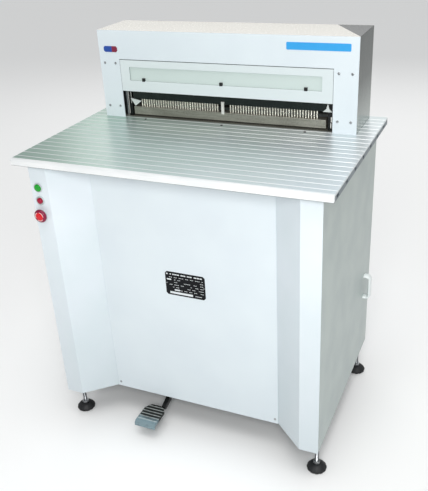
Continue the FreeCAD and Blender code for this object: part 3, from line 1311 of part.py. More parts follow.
def make_pedal():
    """Tread and arm, rock shaft, lever, bracket, return spring, pull rod and bell-crank."""
    rear_y = panel_y - S.pedal_gap + S.sheet * 2
    front_y = rear_y - S.pedal_long
    top = S.pedal_top
    low = top - S.pedal_thick
    lip = S.pedal_lip
    outline = [(rear_y, low), (rear_y, top)]
    pitch = (S.pedal_long - lip) / S.tread_ribs
    for i in range(int(S.tread_ribs.value)):
        start = rear_y - pitch * i - pitch / 2
        crest = top + S.rib_high
        outline += [(start, top), (start - pitch / 6, crest)]
        outline += [(start - pitch / 3, crest), (start - pitch / 2, top)]
    outline += [
        (front_y + lip / 2, top), (front_y + lip / 8, top - lip / 3), (front_y, top - lip),
        (front_y + lip / 4, top - lip - S.sheet), (front_y + lip / 2, low - S.sheet), (front_y + lip, low),
    ]
    left = -(S.pedal_left + S.pedal_wide / 2)
    node("pedal_tread", profile("tread", "x", outline, left, S.pedal_wide))

    t = S.lever_thick
    pivot = (-S.pivot_back, S.pivot_height)
    arm_x = -(S.arm_left + S.arm_wide / 2)
    deep = S.arm_deep
    bend_y = frame_front + S.column_face + S.angle_leg + deep
    bend_z = top + deep + deep / 2
    outline = [(rear_y, low), (rear_y + deep, low), (bend_y + deep, bend_z - deep),
               (pivot[0] + deep / 2, pivot[1] - deep / 2), (pivot[0], pivot[1] + deep * 3 / 4),
               (bend_y, bend_z), (rear_y, top)]
    arm = profile("pedal_arm_bar", "x", outline, arm_x, S.arm_wide)
    shaft_right = -(S.arm_left - S.arm_wide - S.arm_wide / 2)
    shaft = rod("rock_shaft", (-rock_left, pivot[0], pivot[1]), S.pivot_radius, shaft_right + rock_left, "x")
    lever_x = -(lever_left + t / 2)
    web = S.lever_thick
    lever = box("rock_lever", (lever_x, link_y - web, pivot[1] - web),
                (lever_x + t, pivot[0] + web * 2, pivot[1] + web))
    pin_long = S.link_beside + t / 2 + S.gap * 2
    pin = rod("rock_pin", (lever_x + t / 2, link_y, pivot[1]), S.link_pin, pin_long, "x")
    hook_y = -(S.pivot_back + S.spring_arm)
    hook_left = spring_left + S.spring_radius
    hook = rod("spring_pin", (-hook_left, hook_y, pivot[1]), S.link_pin / 2, hook_left - lever_left, "x")
    node("pedal_arm", joined("pedal_arm_solid", [arm, shaft, lever, pin, hook]))

    plate_top_z = pivot[1] + deep + deep / 2
    plate_right = shaft_right + S.gap
    pieces = [box("bracket_back", (-(rock_left + t), S.rail_front - t, frame_low),
                  (plate_right, S.rail_front, plate_top_z))]
    beside = S.arm_wide / 2 + S.stop_gap
    ear_places = (-rock_left, -(S.arm_left + beside + t), -(S.arm_left - beside))
    for i, x in enumerate(ear_places):
        pieces.append(box("bracket_ear_%d" % i, (x, pivot[0] - deep, pivot[1] - deep),
                          (x + t, S.rail_front - t, plate_top_z)))
    free = S.pivot_radius + S.run_clear
    hole = rod("bracket_hole", (-(rock_left + t), pivot[0], pivot[1]), free, rock_left + t, "x")
    mounts.append(less("bracket_bored", joined("bracket_solid", pieces), [hole]))

    spring_low = pivot[1] + S.link_pin / 2 + S.gap
    spring_bore = S.spring_radius - S.spring_wall
    node("pedal_spring", ring("spring", (-spring_left, hook_y, spring_low), spring_bore, S.spring_radius,
                              shelf_low - spring_low, "z"))

    eye = S.link_pin + S.eye_clear
    crank_z = S.crank_pivot_height
    eye_x = -(link_left + t / 2)
    ends = [rod("link_eye_%d" % i, (eye_x, link_y, z), S.link_eye, t, "x")
            for i, z in enumerate((pivot[1], crank_z))]
    bar = rod("link_bar", (-link_left, link_y, pivot[1]), S.link_radius, crank_z - pivot[1])
    holes = [rod("link_hole_%d" % i, (eye_x, link_y, z), eye, t, "x")
             for i, z in enumerate((pivot[1], crank_z))]
    node("clutch_rod", less("clutch_rod_bored", joined("clutch_rod_solid", [bar] + ends), holes))

    nose_y = rod_y - S.clutch_radius - S.crank_tip_gap
    lever_far = lever_x + t
    tail_low = (lever_x, link_y - web, crank_z - web)
    tail = box("crank_tail", tail_low, (lever_far, crank_y + web, crank_z + web))
    nose_z = crank_z + S.crank_rise
    upright_low = (lever_x, crank_y - web, crank_z - web)
    upright = box("crank_upright", upright_low, (lever_far, crank_y + web, nose_z + web))
    nose = box("crank_nose", (lever_x, crank_y - web, nose_z - web), (lever_far, nose_y, nose_z + web))
    pin = rod("crank_pin", (lever_x + t / 2, link_y, crank_z), S.link_pin, pin_long, "x")
    hole = rod("crank_hole", (lever_x, crank_y, crank_z), S.link_pin + S.run_clear, t, "x")
    crank = joined("clutch_crank_solid", [tail, upright, nose, pin])
    node("clutch_crank", less("clutch_crank_bored", crank, [hole]))

    post_x = lever_x - S.stop_gap - t
    post_y = (crank_y - web * 2, crank_y + web * 2)
    foot = box("crank_foot", (-frame_x, post_y[0], shelf_low), (post_x + t, post_y[1], shelf_low + t))
    post_top = crank_z + web + web / 2
    post = box("crank_post", (post_x, post_y[0], shelf_low), (post_x + t, post_y[1], post_top))
    stub = rod("crank_stub", (post_x, crank_y, crank_z), S.link_pin, t * 2 + S.stop_gap, "x")
    mounts.append(joined("crank_bracket", [foot, post, stub]))
    node("inner_mounts", group("inner_mount_set", mounts))


def make_feet():
    """Four levelling feet: rubber pad, threaded stud and nut."""
    for word, back in (("front", foot_front_y), ("rear", foot_rear_y)):
        for side, hand in ((1, "right"), (-1, "left")):
            where = (foot_reach * side, back, ZERO)
            third = S.pad_high / 3
            rim = S.pad_radius
            outline = [
                (0, 0), (0, rim - third / 2), (third / 2, rim), (third, rim), (third * 2, S.pad_waist),
                (S.pad_high, rim / 2), (S.pad_high, 0),
            ]
            name = "%s_%s" % (word, hand)
            pad = turned("pad_" + name, outline, where)
            stud_top = frame_low - S.gap
            on_pad = (where[0], where[1], S.pad_high)
            stud = rod("stud_" + name, on_pad, S.stud_radius, stud_top - S.pad_high)
            nut = ring("nut_" + name, on_pad, S.stud_radius, S.nut_radius, S.nut_high, "z")
            node("foot_" + name, group("foot_set_" + name, [pad, stud, nut]))


def check(item):
    if "Invalid" in item.State or "Error" in item.State:
        raise RuntimeError("%s is %s" % (item.Label, item.State))


def write_parts():
    """Checks every object and writes each sub-part to its own file."""
    for item in doc.Objects:
        check(item)
    for item in nodes:
        if item.Shape.isNull() or not item.Shape.isValid() or not item.Shape.Solids:
            raise RuntimeError("%s has no valid solid" % item.Label)
    os.makedirs("parts", exist_ok=True)
    for item in nodes:
        item.Shape.exportStep("parts/%s.step" % item.Label)
        print("%-18s %3d solids %12.1f mm3" % (item.Label, len(item.Shape.Solids), item.Shape.Volume))
    extent = FreeCAD.BoundBox()
    for item in nodes:
        extent.add(item.Shape.BoundBox)
    print("%d nodes, X %.2f to %.2f, Y %.2f to %.2f, Z %.2f to %.2f" % (
        len(nodes), extent.XMin, extent.XMax, extent.YMin, extent.YMax, extent.ZMin, extent.ZMax))


make_base_frame()
make_head_frame()
make_punch_tools()
make_ram()
make_drive()
make_table()
make_cabinet()
make_head_covers()
make_screws()
make_controls()
make_chips()
make_pedal()
make_feet()
doc.recompute()
write_parts()
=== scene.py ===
import bpy, bmesh, json, math
from mathutils import Matrix, Vector


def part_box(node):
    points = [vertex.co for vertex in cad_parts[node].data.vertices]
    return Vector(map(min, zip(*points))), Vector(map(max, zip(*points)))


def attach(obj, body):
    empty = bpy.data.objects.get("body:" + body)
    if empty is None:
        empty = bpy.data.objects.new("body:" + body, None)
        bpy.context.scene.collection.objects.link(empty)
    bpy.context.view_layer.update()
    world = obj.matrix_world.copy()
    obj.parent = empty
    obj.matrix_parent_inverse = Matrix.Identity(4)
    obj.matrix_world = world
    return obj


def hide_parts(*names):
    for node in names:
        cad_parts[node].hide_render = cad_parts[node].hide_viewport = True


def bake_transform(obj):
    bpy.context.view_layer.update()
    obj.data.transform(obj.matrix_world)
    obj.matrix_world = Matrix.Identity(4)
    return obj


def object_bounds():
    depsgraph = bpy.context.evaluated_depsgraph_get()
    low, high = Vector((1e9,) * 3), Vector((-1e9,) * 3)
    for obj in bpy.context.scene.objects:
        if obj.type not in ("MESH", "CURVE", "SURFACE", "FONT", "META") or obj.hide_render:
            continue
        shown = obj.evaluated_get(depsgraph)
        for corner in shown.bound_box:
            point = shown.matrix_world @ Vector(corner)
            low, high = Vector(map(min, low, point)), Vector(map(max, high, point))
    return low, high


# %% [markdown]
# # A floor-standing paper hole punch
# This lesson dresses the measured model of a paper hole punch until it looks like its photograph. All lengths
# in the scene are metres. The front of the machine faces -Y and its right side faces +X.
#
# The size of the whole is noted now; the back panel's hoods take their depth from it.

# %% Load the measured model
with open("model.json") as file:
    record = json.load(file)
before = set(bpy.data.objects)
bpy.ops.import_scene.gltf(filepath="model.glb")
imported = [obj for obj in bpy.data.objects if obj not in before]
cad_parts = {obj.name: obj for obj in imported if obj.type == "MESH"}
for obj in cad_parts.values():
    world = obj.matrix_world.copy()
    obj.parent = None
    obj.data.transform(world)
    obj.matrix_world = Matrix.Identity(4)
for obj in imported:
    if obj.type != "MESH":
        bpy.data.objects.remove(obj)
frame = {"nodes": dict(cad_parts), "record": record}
size_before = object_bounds()
print("the model spans", size_before)

# %% [markdown]
# The camera comes first, because all that follows is judged through it. It was fitted to corners of the machine
# in the photograph: it stands ahead of the right front corner, looks down on the table, and is rolled a little.

# %% Camera
def put(name, data):
    """Puts a new object into the scene."""
    made = bpy.data.objects.new(name, data)
    bpy.context.collection.objects.link(made)
    return made


camera_place = Vector((0.82252, -1.76467, 1.57271))
yaw, pitch, roll = -0.43573, 0.47301, -0.05776
ahead = Vector((math.sin(yaw) * math.cos(pitch), math.cos(yaw) * math.cos(pitch), -math.sin(pitch)))
level = Vector((math.cos(yaw), -math.sin(yaw), 0))
steep = level.cross(ahead)
across = math.cos(roll) * level + math.sin(roll) * steep
upward = math.cos(roll) * steep - math.sin(roll) * level
camera = put("camera", bpy.data.cameras.new("camera"))
camera.matrix_world = Matrix.Translation(camera_place) @ Matrix((across, upward, -ahead)).transposed().to_4x4()
camera.data.sensor_fit = "VERTICAL"
camera.data.sensor_height = 36
camera.data.lens = 50.91
bpy.context.scene.camera = camera
print("camera at", tuple(camera_place), "lens", camera.data.lens)

# %% [markdown]
# Colours are written the way paint charts give them, as sRGB hex values. The shader counts in linear light, so
# one function turns every hex value to linear.

# %% Colours
def linear(code):
    """An sRGB hex colour as linear red, green, blue and alpha."""
    parts = [int(code[i:i + 2], 16) / 255 for i in (0, 2, 4)]
    return [p / 12.92 if p <= 0.04045 else ((p + 0.055) / 1.055) ** 2.4 for p in parts] + [1.0]


print("mid grey is", round(linear("808080")[0], 3), "in linear light")

# %% [markdown]
# A material is a tree of nodes. One small function adds a node and returns its result, so that each finish below
# reads as a short list. Values without a name go to the node's inputs from the top down, as the editor shows
# them: a Map Range takes its value, the range it comes from, and the range it goes to. The first result is the
# one that counts, and a node with several, such as Separate XYZ, is asked for the others through its outputs.

# %% Adding a node
def add(tree, kind, *values, **settings):
    """Adds a node; a setting with a capital is an input, and an input that is given a socket is joined to it."""
    made = tree.nodes.new("ShaderNode" + kind)
    for name in settings:
        if name[0].islower():
            setattr(made, name, settings[name])
    filled = list(zip([socket for socket in made.inputs if socket.enabled], values))
    filled += [(made.inputs[name.replace("_", " ")], settings[name]) for name in settings if name[0].isupper()]
    for socket, value in filled:
        if isinstance(value, bpy.types.NodeSocket):
            tree.links.new(value, socket)
        else:
            socket.default_value = value
    return next(socket for socket in made.outputs if socket.enabled)


def finish(name, colour, **sockets):
    """A new material with one shader; what is the same all over the surface is set on its own sockets."""
    made = bpy.data.materials.new(name)
    made.use_nodes = True
    shader = made.node_tree.nodes["Principled BSDF"]
    shader.inputs["Base Color"].default_value = linear(colour)
    for socket, value in sockets.items():
        shader.inputs[socket.replace("_", " ")].default_value = value
    return made, made.node_tree, shader


def drive(shader, **results):
    """Lets the results of nodes drive the shader's sockets."""
    for name, result in results.items():
        shader.id_data.links.new(result, shader.inputs[name.replace("_", " ")])


def per_metre(millimetres):
    """How often a pattern of this size repeats in a metre."""
    return 1000 / millimetres


print("a 2 mm grain repeats", per_metre(2), "times a metre")

# %% [markdown]
# ## Paint
# The cabinet is sheet steel with a powder coat. The powder is sprayed dry and melted in an oven, so the film
# keeps a very fine orange peel of about 1.6 mm, a soft gloss, and slow changes in tone where the sheet isn't
# quite flat. Both patterns read Object coordinates, so they sit on the sheet from every side. The paint is also
# darkened towards the floor, a painted shade for the light that thins out lower down; the columns get the most
# of it.

# %% Powder coat
def powder_coat(name, colour, shade, gloss=0.36, peel=1.6, cloud=170, shade_near_floor=0.0):
    """Melted powder paint: an even colour with slow clouds, fine orange peel, a soft gloss and painted shade
    towards the floor.
    """
    made, tree, shader = finish(name, colour, IOR=1.5)
    where = add(tree, "TexCoord").node.outputs["Object"]
    clouds = add(tree, "TexNoise", where, Scale=per_metre(cloud), Detail=2)
    tone = add(tree, "MapRange", clouds, 0.35, 0.65)
    mixed = add(tree, "Mix", tone, linear(colour), linear(shade), data_type="RGBA")
    height = add(tree, "SeparateXYZ", where).node.outputs["Z"]
    # painted shade: below 0.75 m the colour turns towards grey A3AFB3, reaching the given share at 0.08 m
    low = add(tree, "MapRange", height, 0.75, 0.08, To_Max=shade_near_floor)
    floor_shaded = add(tree, "Mix", low, mixed, linear("A3AFB3"), data_type="RGBA")
    rough = add(tree, "MapRange", clouds, To_Min=gloss - 0.05, To_Max=gloss + 0.07)
    grain = add(tree, "TexNoise", where, Scale=per_metre(peel), Detail=1)
    bump = add(tree, "Bump", Height=grain, Strength=0.12, Distance=0.0002)
    drive(shader, Base_Color=floor_shaded, Roughness=rough, Normal=bump)
    return made


cabinet_paint = powder_coat("powder_coat_cool_white", "E4EDF1", "E0E9EE", shade_near_floor=0.3)
column_paint = powder_coat("powder_coat_column_white", "E5EDF2", "E0EAEE", gloss=0.33, shade_near_floor=0.42)
# painted shade: the door's grey-green is the cabinet's white darkened for the shade the right side is in
door_paint_shaded = powder_coat("powder_coat_door_painted_shade", "B4C0BB", "AEBAB7", gloss=0.34, cloud=90, shade_near_floor=0.2)
frame_paint = powder_coat("powder_coat_frame_grey", "8E9698", "838C8F", gloss=0.45)
gusset_paint = powder_coat("powder_coat_gusset_pale", "DCE2DF", "D2DAD8", gloss=0.4)
motor_paint = powder_coat("powder_coat_motor_blue_grey", "5E6F7A", "55656F", gloss=0.42)
box_paint = powder_coat("powder_coat_box_grey", "C4C9C8", "BBC1C1", gloss=0.4)
print("paints:", [m.name for m in bpy.data.materials if m.name.startswith("powder")])

# %% [markdown]
# The guard's face is painted a little darker than the cabinet's white as painted shade. Its recess's floor is
# darker and greener again, and the recess's wall is dark grey, both painted shade in the recess. All follow from
# how deep a point lies behind the guard's face, so the depth picks the tone.

# %% Paint of the guard
def recess_shaded_paint(name, face, wall_shade, recess_floor_shade, face_y, deep):
    """Powder coat whose tone changes from a face to painted shade on the wall and floor of its recess."""
    made = powder_coat(name, face, face)
    tree = made.node_tree
    parts = add(tree, "SeparateXYZ", add(tree, "TexCoord").node.outputs["Object"]).node.outputs
    depth = add(tree, "Math", parts["Y"], face_y, operation="SUBTRACT")
    sunk = add(tree, "Math", depth, deep * 0.08, operation="GREATER_THAN")
    bottom = add(tree, "Math", depth, deep * 0.92, operation="GREATER_THAN")
    # painted shade: the recess's wall is dark grey, its floor darker and greener than the face
    recess_shading = add(tree, "Mix", bottom, linear(wall_shade), linear(recess_floor_shade), data_type="RGBA")
    tone = add(tree, "Mix", sunk, linear(face), recess_shading, data_type="RGBA")
    drive(tree.nodes["Principled BSDF"], Base_Color=tone)
    return made


guard_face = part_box("guard")[0].y
# painted shade: the guard's face is a little darker than the cabinet's white
guard_paint_shaded = recess_shaded_paint("powder_coat_guard_painted_shade", "DFE8E9", "8F9C99", "D2DFDB", guard_face, 0.004)
print("the guard's face lies at", round(guard_face, 4), "m")

# %% [markdown]
# The ram, the end blocks and the pedal arm are steel in black gloss enamel. Brushed enamel is smoother than
# powder and shines more sharply. Handling leaves dull scuffs in it, so patches of a slow noise are both a little
# paler and rougher. Worn edges could be found from how pointed a surface is, but that needs a dense mesh.

# %% Black enamel
def enamel(name, colour, scuffed, gloss):
    """Glossy brushed paint with dull scuffs."""
    made, tree, shader = finish(name, colour, IOR=1.52)
    where = add(tree, "TexCoord").node.outputs["Object"]
    smear = add(tree, "TexNoise", where, Scale=per_metre(14), Detail=4)
    patch = add(tree, "MapRange", smear, 0.56, 0.74, To_Max=0.5)
    mixed = add(tree, "Mix", patch, linear(colour), linear(scuffed), data_type="RGBA")
    rough = add(tree, "MapRange", smear, To_Min=gloss - 0.06, To_Max=gloss + 0.1)
    bump = add(tree, "Bump", Height=smear, Strength=0.15, Distance=0.0004)
    drive(shader, Base_Color=mixed, Roughness=rough, Normal=bump)
    return made


ram_enamel = enamel("gloss_enamel_ram_black", "081512", "25302C", 0.2)
block_enamel = enamel("gloss_enamel_block_black", "08090A", "2C2F30", 0.22)
arm_enamel = enamel("gloss_enamel_arm_black", "070808", "2A2C2B", 0.34)
hub_iron = enamel("cast_iron_turned_oiled", "4C4E50", "8A8D90", 0.38)
print("enamels:", [m.name for m in bpy.data.materials if "enamel" in m.name])

# %% [markdown]
# The pedal's tread is cast iron with thin black paint. Shoes have rubbed it: the crests of its ribs are worn
# bare and painted near-white as a highlight, paler than bare iron, and its turned-down front, where most feet
# land, is bare blue-grey iron. Both follow from where a point lies on the tread: how high it is, and how far it
# is from the front.

# %% Worn cast iron
tread_low, tread_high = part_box("pedal_tread")


def worn_iron(name, paint, iron, crest_wear_and_highlight):
    """Painted cast iron, rubbed bare on the crests of its ribs, which carry a painted highlight, and at its
    front.
    """
    made, tree, shader = finish(name, paint, Metallic=0.35)
    where = add(tree, "TexCoord").node.outputs["Object"]
    parts = add(tree, "SeparateXYZ", where).node.outputs
    casting = add(tree, "TexNoise", where, Scale=per_metre(3), Detail=4)
    rubbed = add(tree, "TexNoise", where, Scale=per_metre(22), Detail=5)
    front = add(tree, "MapRange", parts["Y"], tread_low.y + 0.016, tread_low.y + 0.046, 0.85, 0.05)
    patchy = add(tree, "Math", front, rubbed, operation="MULTIPLY")
    spread = add(tree, "MapRange", patchy, 0.1, 0.4)
    iron_tone = add(tree, "Mix", spread, linear(paint), linear(iron), data_type="RGBA")
    # worn crests, painted near-white as a highlight, paler than the bare iron at the front
    high = add(tree, "MapRange", parts["Z"], tread_high.z - 0.0011, tread_high.z - 0.0003)
    crest_wear_and_highlight_mask = add(tree, "Math", high, rubbed, operation="MULTIPLY")
    tone = add(tree, "Mix", crest_wear_and_highlight_mask, iron_tone, linear(crest_wear_and_highlight), data_type="RGBA")
    rough = add(tree, "MapRange", rubbed, To_Min=0.36, To_Max=0.62)
    bump = add(tree, "Bump", Height=casting, Strength=0.4, Distance=0.0004)
    drive(shader, Base_Color=tone, Roughness=rough, Normal=bump)
    return made


tread_iron = worn_iron("cast_iron_painted_tread", "181C19", "7F949B", "D3DAD8")
print("the ribs' crests lie at", round(tread_high.z, 4), "m")

# %% [markdown]
# ## Metal
# Bare metal shows how it was worked. Brushing and grinding leave long fine scratches in one direction, which a
# noise pattern gives when its coordinates are squeezed across the scratches. The true scratches are under
# 0.1 mm wide, too fine to show, so they are drawn a few times coarser.

# %% Worked metal
def worked_metal(name, colour, shade, rough, stretch=(1, 30, 30), length=60, depth=0.00004, spots=0.0,
                 metal=1.0):
    """Metal brushed or ground in one direction, with dull and bright streaks and optional dark speckles."""
    made, tree, shader = finish(name, colour, Metallic=metal)
    where = add(tree, "TexCoord").node.outputs["Object"]
    squeezed = add(tree, "Mapping", where, Scale=stretch)
    scratch = add(tree, "TexNoise", squeezed, Scale=per_metre(length), Detail=5)
    haze = add(tree, "TexNoise", where, Scale=per_metre(120), Detail=1)
    both = add(tree, "Math", scratch, haze, operation="MULTIPLY")
    blend = add(tree, "MapRange", both, 0.15, 0.36)
    tone = add(tree, "Mix", blend, linear(shade), linear(colour), data_type="RGBA")
    if spots:
        speck = add(tree, "TexNoise", where, Scale=per_metre(2.4), Detail=6)
        dark = add(tree, "MapRange", speck, 0.52, 0.62, To_Max=spots)
        tone = add(tree, "Mix", dark, tone, linear("3C3A30"), data_type="RGBA")
    gloss = add(tree, "MapRange", scratch, To_Min=rough - 0.08, To_Max=rough + 0.12)
    bump = add(tree, "Bump", Height=scratch, Strength=0.3, Distance=depth)
    drive(shader, Base_Color=tone, Roughness=gloss, Normal=bump)
    return made


cover_steel = worked_metal("stainless_steel_brushed_cover", "D9DAD4", "C4C6C0", 0.27)
plank_aluminium = worked_metal("aluminium_extruded_planks", "858F95", "707A80", 0.42, metal=0.7)
guide_steel = worked_metal("tool_steel_ground_speckled", "B9B7AB", "9C9A8E", 0.36, spots=0.35, metal=0.7)
pin_steel = worked_metal("tool_steel_pins_polished", "EFEADC", "DCD7CA", 0.26, (30, 30, 1), 20, metal=0.6)
post_steel = worked_metal("steel_strip_polished", "FBFAF4", "E6E4DE", 0.24, stretch=(30, 30, 1), metal=0.25)
frame_steel = worked_metal("steel_plain_ground", "8F9294", "74787A", 0.4)
zinc_plate = worked_metal("steel_zinc_plated", "B8BABB", "9DA0A3", 0.3, stretch=(1, 1, 1), length=8)
dark_screw = worked_metal("steel_black_oxide_screw", "2A2C2E", "1C1D1F", 0.42, stretch=(1, 1, 1), length=8)
print("metals:", [m.name for m in bpy.data.materials if "steel" in m.name or "aluminium" in m.name])

# %% [markdown]
# The table's deck is extruded aluminium with a satin brushing along its length. Its narrow grooves, one every
# 31.35 mm, carry a painted highlight: a near-white line along each. An image could hold such lines, but numbers
# do it too: folding the distance from the table's front back and forth over half a pitch gives the distance to
# the nearest groove. The deck's colour also holds a painted reflection of the green room on its left and of
# daylight on its right, so its tone drifts from one to the other.

# %% Ridged aluminium
ridge_pitch = 0.03135
table_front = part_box("table_edge")[0].y


def ridged_aluminium(name, left_reflection, right_reflection, groove_highlight):
    """Satin aluminium with a painted highlight along each groove and a painted reflection drifting from left to
    right.
    """
    made, tree, shader = finish(name, left_reflection, Metallic=0.55)
    where = add(tree, "TexCoord").node.outputs["Object"]
    parts = add(tree, "SeparateXYZ", where).node.outputs
    behind = add(tree, "Math", parts["Y"], table_front, operation="SUBTRACT")
    nearest = add(tree, "Math", behind, ridge_pitch / 2, operation="PINGPONG")
    # painted highlight: a near-white line along each groove
    line = add(tree, "MapRange", nearest, 0.0010, 0.0024, 1.0, 0.0)
    squeezed = add(tree, "Mapping", where, Scale=(1, 60, 1))
    scratch = add(tree, "TexNoise", squeezed, Scale=per_metre(90), Detail=4)
    haze = add(tree, "TexNoise", where, Scale=per_metre(210), Detail=3)
    # painted reflection: the green room's tone on the left drifts to daylight's on the right
    reflection_drift = add(tree, "MapRange", parts["X"], -0.42, 0.36)
    mottled = add(tree, "Math", haze, 0.7, -0.35, operation="MULTIPLY_ADD")
    blend = add(tree, "Math", reflection_drift, mottled, operation="ADD", use_clamp=True)
    satin = add(tree, "Mix", blend, linear(left_reflection), linear(right_reflection), data_type="RGBA")
    streaked = add(tree, "Mix", scratch, satin, linear("8D9A97"), data_type="RGBA")
    faint = add(tree, "Mix", 0.3, satin, streaked, data_type="RGBA")
    bright = add(tree, "Mix", line, faint, linear(groove_highlight), data_type="RGBA")
    rough = add(tree, "MapRange", scratch, To_Min=0.22, To_Max=0.4)
    bump = add(tree, "Bump", Height=scratch, Strength=0.25, Distance=0.00005)
    drive(shader, Base_Color=bright, Roughness=rough, Normal=bump)
    return made


deck_aluminium = ridged_aluminium("aluminium_extruded_brushed_deck", "A9C4B7", "E0E7EA", "FDFEFE")
print("deck finish:", deck_aluminium.name, "with a line every", ridge_pitch, "m")

# %% [markdown]
# The table's front edging is painted nearly white and rounded. Its lowest 2.4 mm are dark grey, a painted shade
# that draws a thin dark line under it along the whole front. The height of a point tells which it is.

# %% Edging with a bare lower lip
def edging_with_shaded_lip(name, colour, lip_shade, lip_top):
    """Pale satin edging with a line of painted shade along its lower edge."""
    made = worked_metal(name, colour, "F0F3F3", 0.36, metal=0.3)
    tree = made.node_tree
    shader = tree.nodes["Principled BSDF"]
    satin = shader.inputs["Base Color"].links[0].from_socket
    parts = add(tree, "SeparateXYZ", add(tree, "TexCoord").node.outputs["Object"]).node.outputs
    # painted shade: the lowest 2.4 mm of the edging are dark grey
    shaded_lip = add(tree, "Math", parts["Z"], lip_top, operation="LESS_THAN")
    tone = add(tree, "Mix", shaded_lip, satin, linear(lip_shade), data_type="RGBA")
    drive(shader, Base_Color=tone)
    return made


edging_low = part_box("table_edge")[0].z + 0.0024
edge_aluminium = edging_with_shaded_lip("aluminium_extruded_edging", "FAFBFB", "4A5354", edging_low)
print("the pale edging starts at", round(edging_low, 4), "m")

# %% [markdown]
# The wrap of the head is stainless sheet, brushed and reflective. Its top is painted with reflections: up to a
# slanting line near the right end it is a cream, non-metallic colour for the pale wall it mirrors, and past that
# line a dark grey for a dark object it mirrors. The side carries a painted reflection of a dim room, darker
# towards its top. Where a colour changes at a place on the piece, the Object coordinates of that place can
# switch it.

# %% Steel with its film
def steel_with_painted_reflections(name, steel, shade, top, pale_wall_reflection, reflection_end, reflection_slant, reflection_low):
    """Brushed steel with painted reflections: its sides darker towards the top, and its top cream up to a
    slanting line along X and dark grey past it.
    """
    made, tree, shader = finish(name, steel)
    where = add(tree, "TexCoord").node.outputs["Object"]
    parts = add(tree, "SeparateXYZ", where).node.outputs
    # painted reflection: the cream, non-metallic area on the top, up to a slanting line
    above = add(tree, "Math", parts["Z"], reflection_low, operation="GREATER_THAN")
    reflection_line = add(tree, "Math", parts["Y"], reflection_slant, parts["X"], operation="MULTIPLY_ADD")
    before = add(tree, "Math", reflection_line, reflection_end, operation="LESS_THAN")
    pale_reflection_area = add(tree, "Math", above, before, operation="MULTIPLY")
    outside_pale_reflection = add(tree, "Math", 1.0, pale_reflection_area, operation="SUBTRACT")
    squeezed = add(tree, "Mapping", where, Scale=(12, 12, 1))
    scratch = add(tree, "TexNoise", squeezed, Scale=per_metre(60), Detail=4)
    cloud = add(tree, "TexNoise", where, Scale=per_metre(110), Detail=2)
    # painted reflection: the sides darken towards their top
    side_reflection_fade = add(tree, "MapRange", parts["Z"], 1.08, 0.95)
    uneven = add(tree, "Math", scratch, 0.5, -0.25, operation="MULTIPLY_ADD")
    factor = add(tree, "Math", side_reflection_fade, uneven, operation="ADD", use_clamp=True)
    streaked = add(tree, "Mix", factor, linear(shade), linear(steel), data_type="RGBA")
    pale_reflection_marks = add(tree, "Mix", cloud, linear(pale_wall_reflection), linear("DDD9CE"), data_type="RGBA")
    # painted reflection: past the slanting line the top is dark grey
    roof = add(tree, "Mix", before, linear(top), pale_reflection_marks, data_type="RGBA")
    tone = add(tree, "Mix", above, streaked, roof, data_type="RGBA")
    rough = add(tree, "MapRange", scratch, To_Min=0.16, To_Max=0.34)
    bump = add(tree, "Bump", Height=cloud, Strength=0.2, Distance=0.0006)
    drive(shader, Base_Color=tone, Metallic=outside_pale_reflection, Roughness=rough, Normal=bump)
    return made


roof_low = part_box("head_wrap")[1].z - 0.0018
wrap_steel_reflections = steel_with_painted_reflections("stainless_steel_wrap_painted_reflections", "9DA5A1", "3E4743", "232A27", "E9E6DC", 0.484, 0.628,
                          roof_low)
print("the film lies above", round(roof_low, 4), "m")

# %% [markdown]
# ## Plastic and rubber
# Buttons, collars and the handle are moulded. A moulded skin has an even colour, a fine pebble left by the
# mould of about 0.6 mm, and a wide soft highlight. Rubber is the same idea with a rougher, darker skin.

# %% Moulded skin
def moulded(name, colour, shade, rough, grain=0.6, depth=0.00003, mirror=0.5):
    """A moulded plastic or rubber skin; a lower mirror value makes it matt."""
    made, tree, shader = finish(name, colour, IOR=1.49, Specular_IOR_Level=mirror)
    where = add(tree, "TexCoord").node.outputs["Object"]
    cloud = add(tree, "TexNoise", where, Scale=per_metre(22), Detail=2)
    mixed = add(tree, "Mix", cloud, linear(colour), linear(shade), data_type="RGBA")
    gloss = add(tree, "MapRange", cloud, To_Min=rough - 0.05, To_Max=rough + 0.08)
    pebble = add(tree, "TexNoise", where, Scale=per_metre(grain), Detail=1)
    bump = add(tree, "Bump", Height=pebble, Strength=0.25, Distance=depth)
    drive(shader, Base_Color=mixed, Roughness=gloss, Normal=bump)
    return made


green_cap = moulded("abs_moulded_green", "12A52C", "0E9425", 0.22)
red_cap = moulded("abs_moulded_crimson", "A80434", "97022E", 0.22)
mushroom_cap = moulded("abs_moulded_signal_red", "E00A1E", "CC061A", 0.26)
mushroom_rim = moulded("abs_moulded_dark_crimson", "8E0A3C", "7E0834", 0.3)
pale_collar = moulded("abs_moulded_collar_pale", "C9D2D2", "BEC8C9", 0.34)
arrow_ink = moulded("ink_printed_pale", "F4D8D4", "EECBC8", 0.5)
handle_white = moulded("nylon_moulded_white", "F3F7F6", "E6EEED", 0.38)
clip_black = moulded("nylon_moulded_black", "141516", "1B1C1D", 0.4)
gland_black = moulded("nylon_moulded_gland", "1C1D1E", "242526", 0.42)
label_vinyl = moulded("vinyl_film_blue", "2FA0E4", "3AAAEC", 0.3)
badge_blue = moulded("vinyl_film_badge_blue", "1F4FA8", "1A459A", 0.3)
badge_maroon = moulded("vinyl_film_badge_maroon", "8A1F3E", "7C1936", 0.3)
plate_black = moulded("aluminium_plate_anodised_black", "06080C", "0B0D12", 0.5, mirror=0.2)
plate_print = moulded("ink_printed_white", "E8EDEE", "D6DCDE", 0.45)
foot_rubber = moulded("rubber_moulded_black", "17181A", "202224", 0.56, grain=1.2, depth=0.00008)
belt_rubber = moulded("rubber_belt_black", "1B1B1B", "262524", 0.62, grain=1.5, depth=0.0001)
print(len(bpy.data.materials), "materials so far")

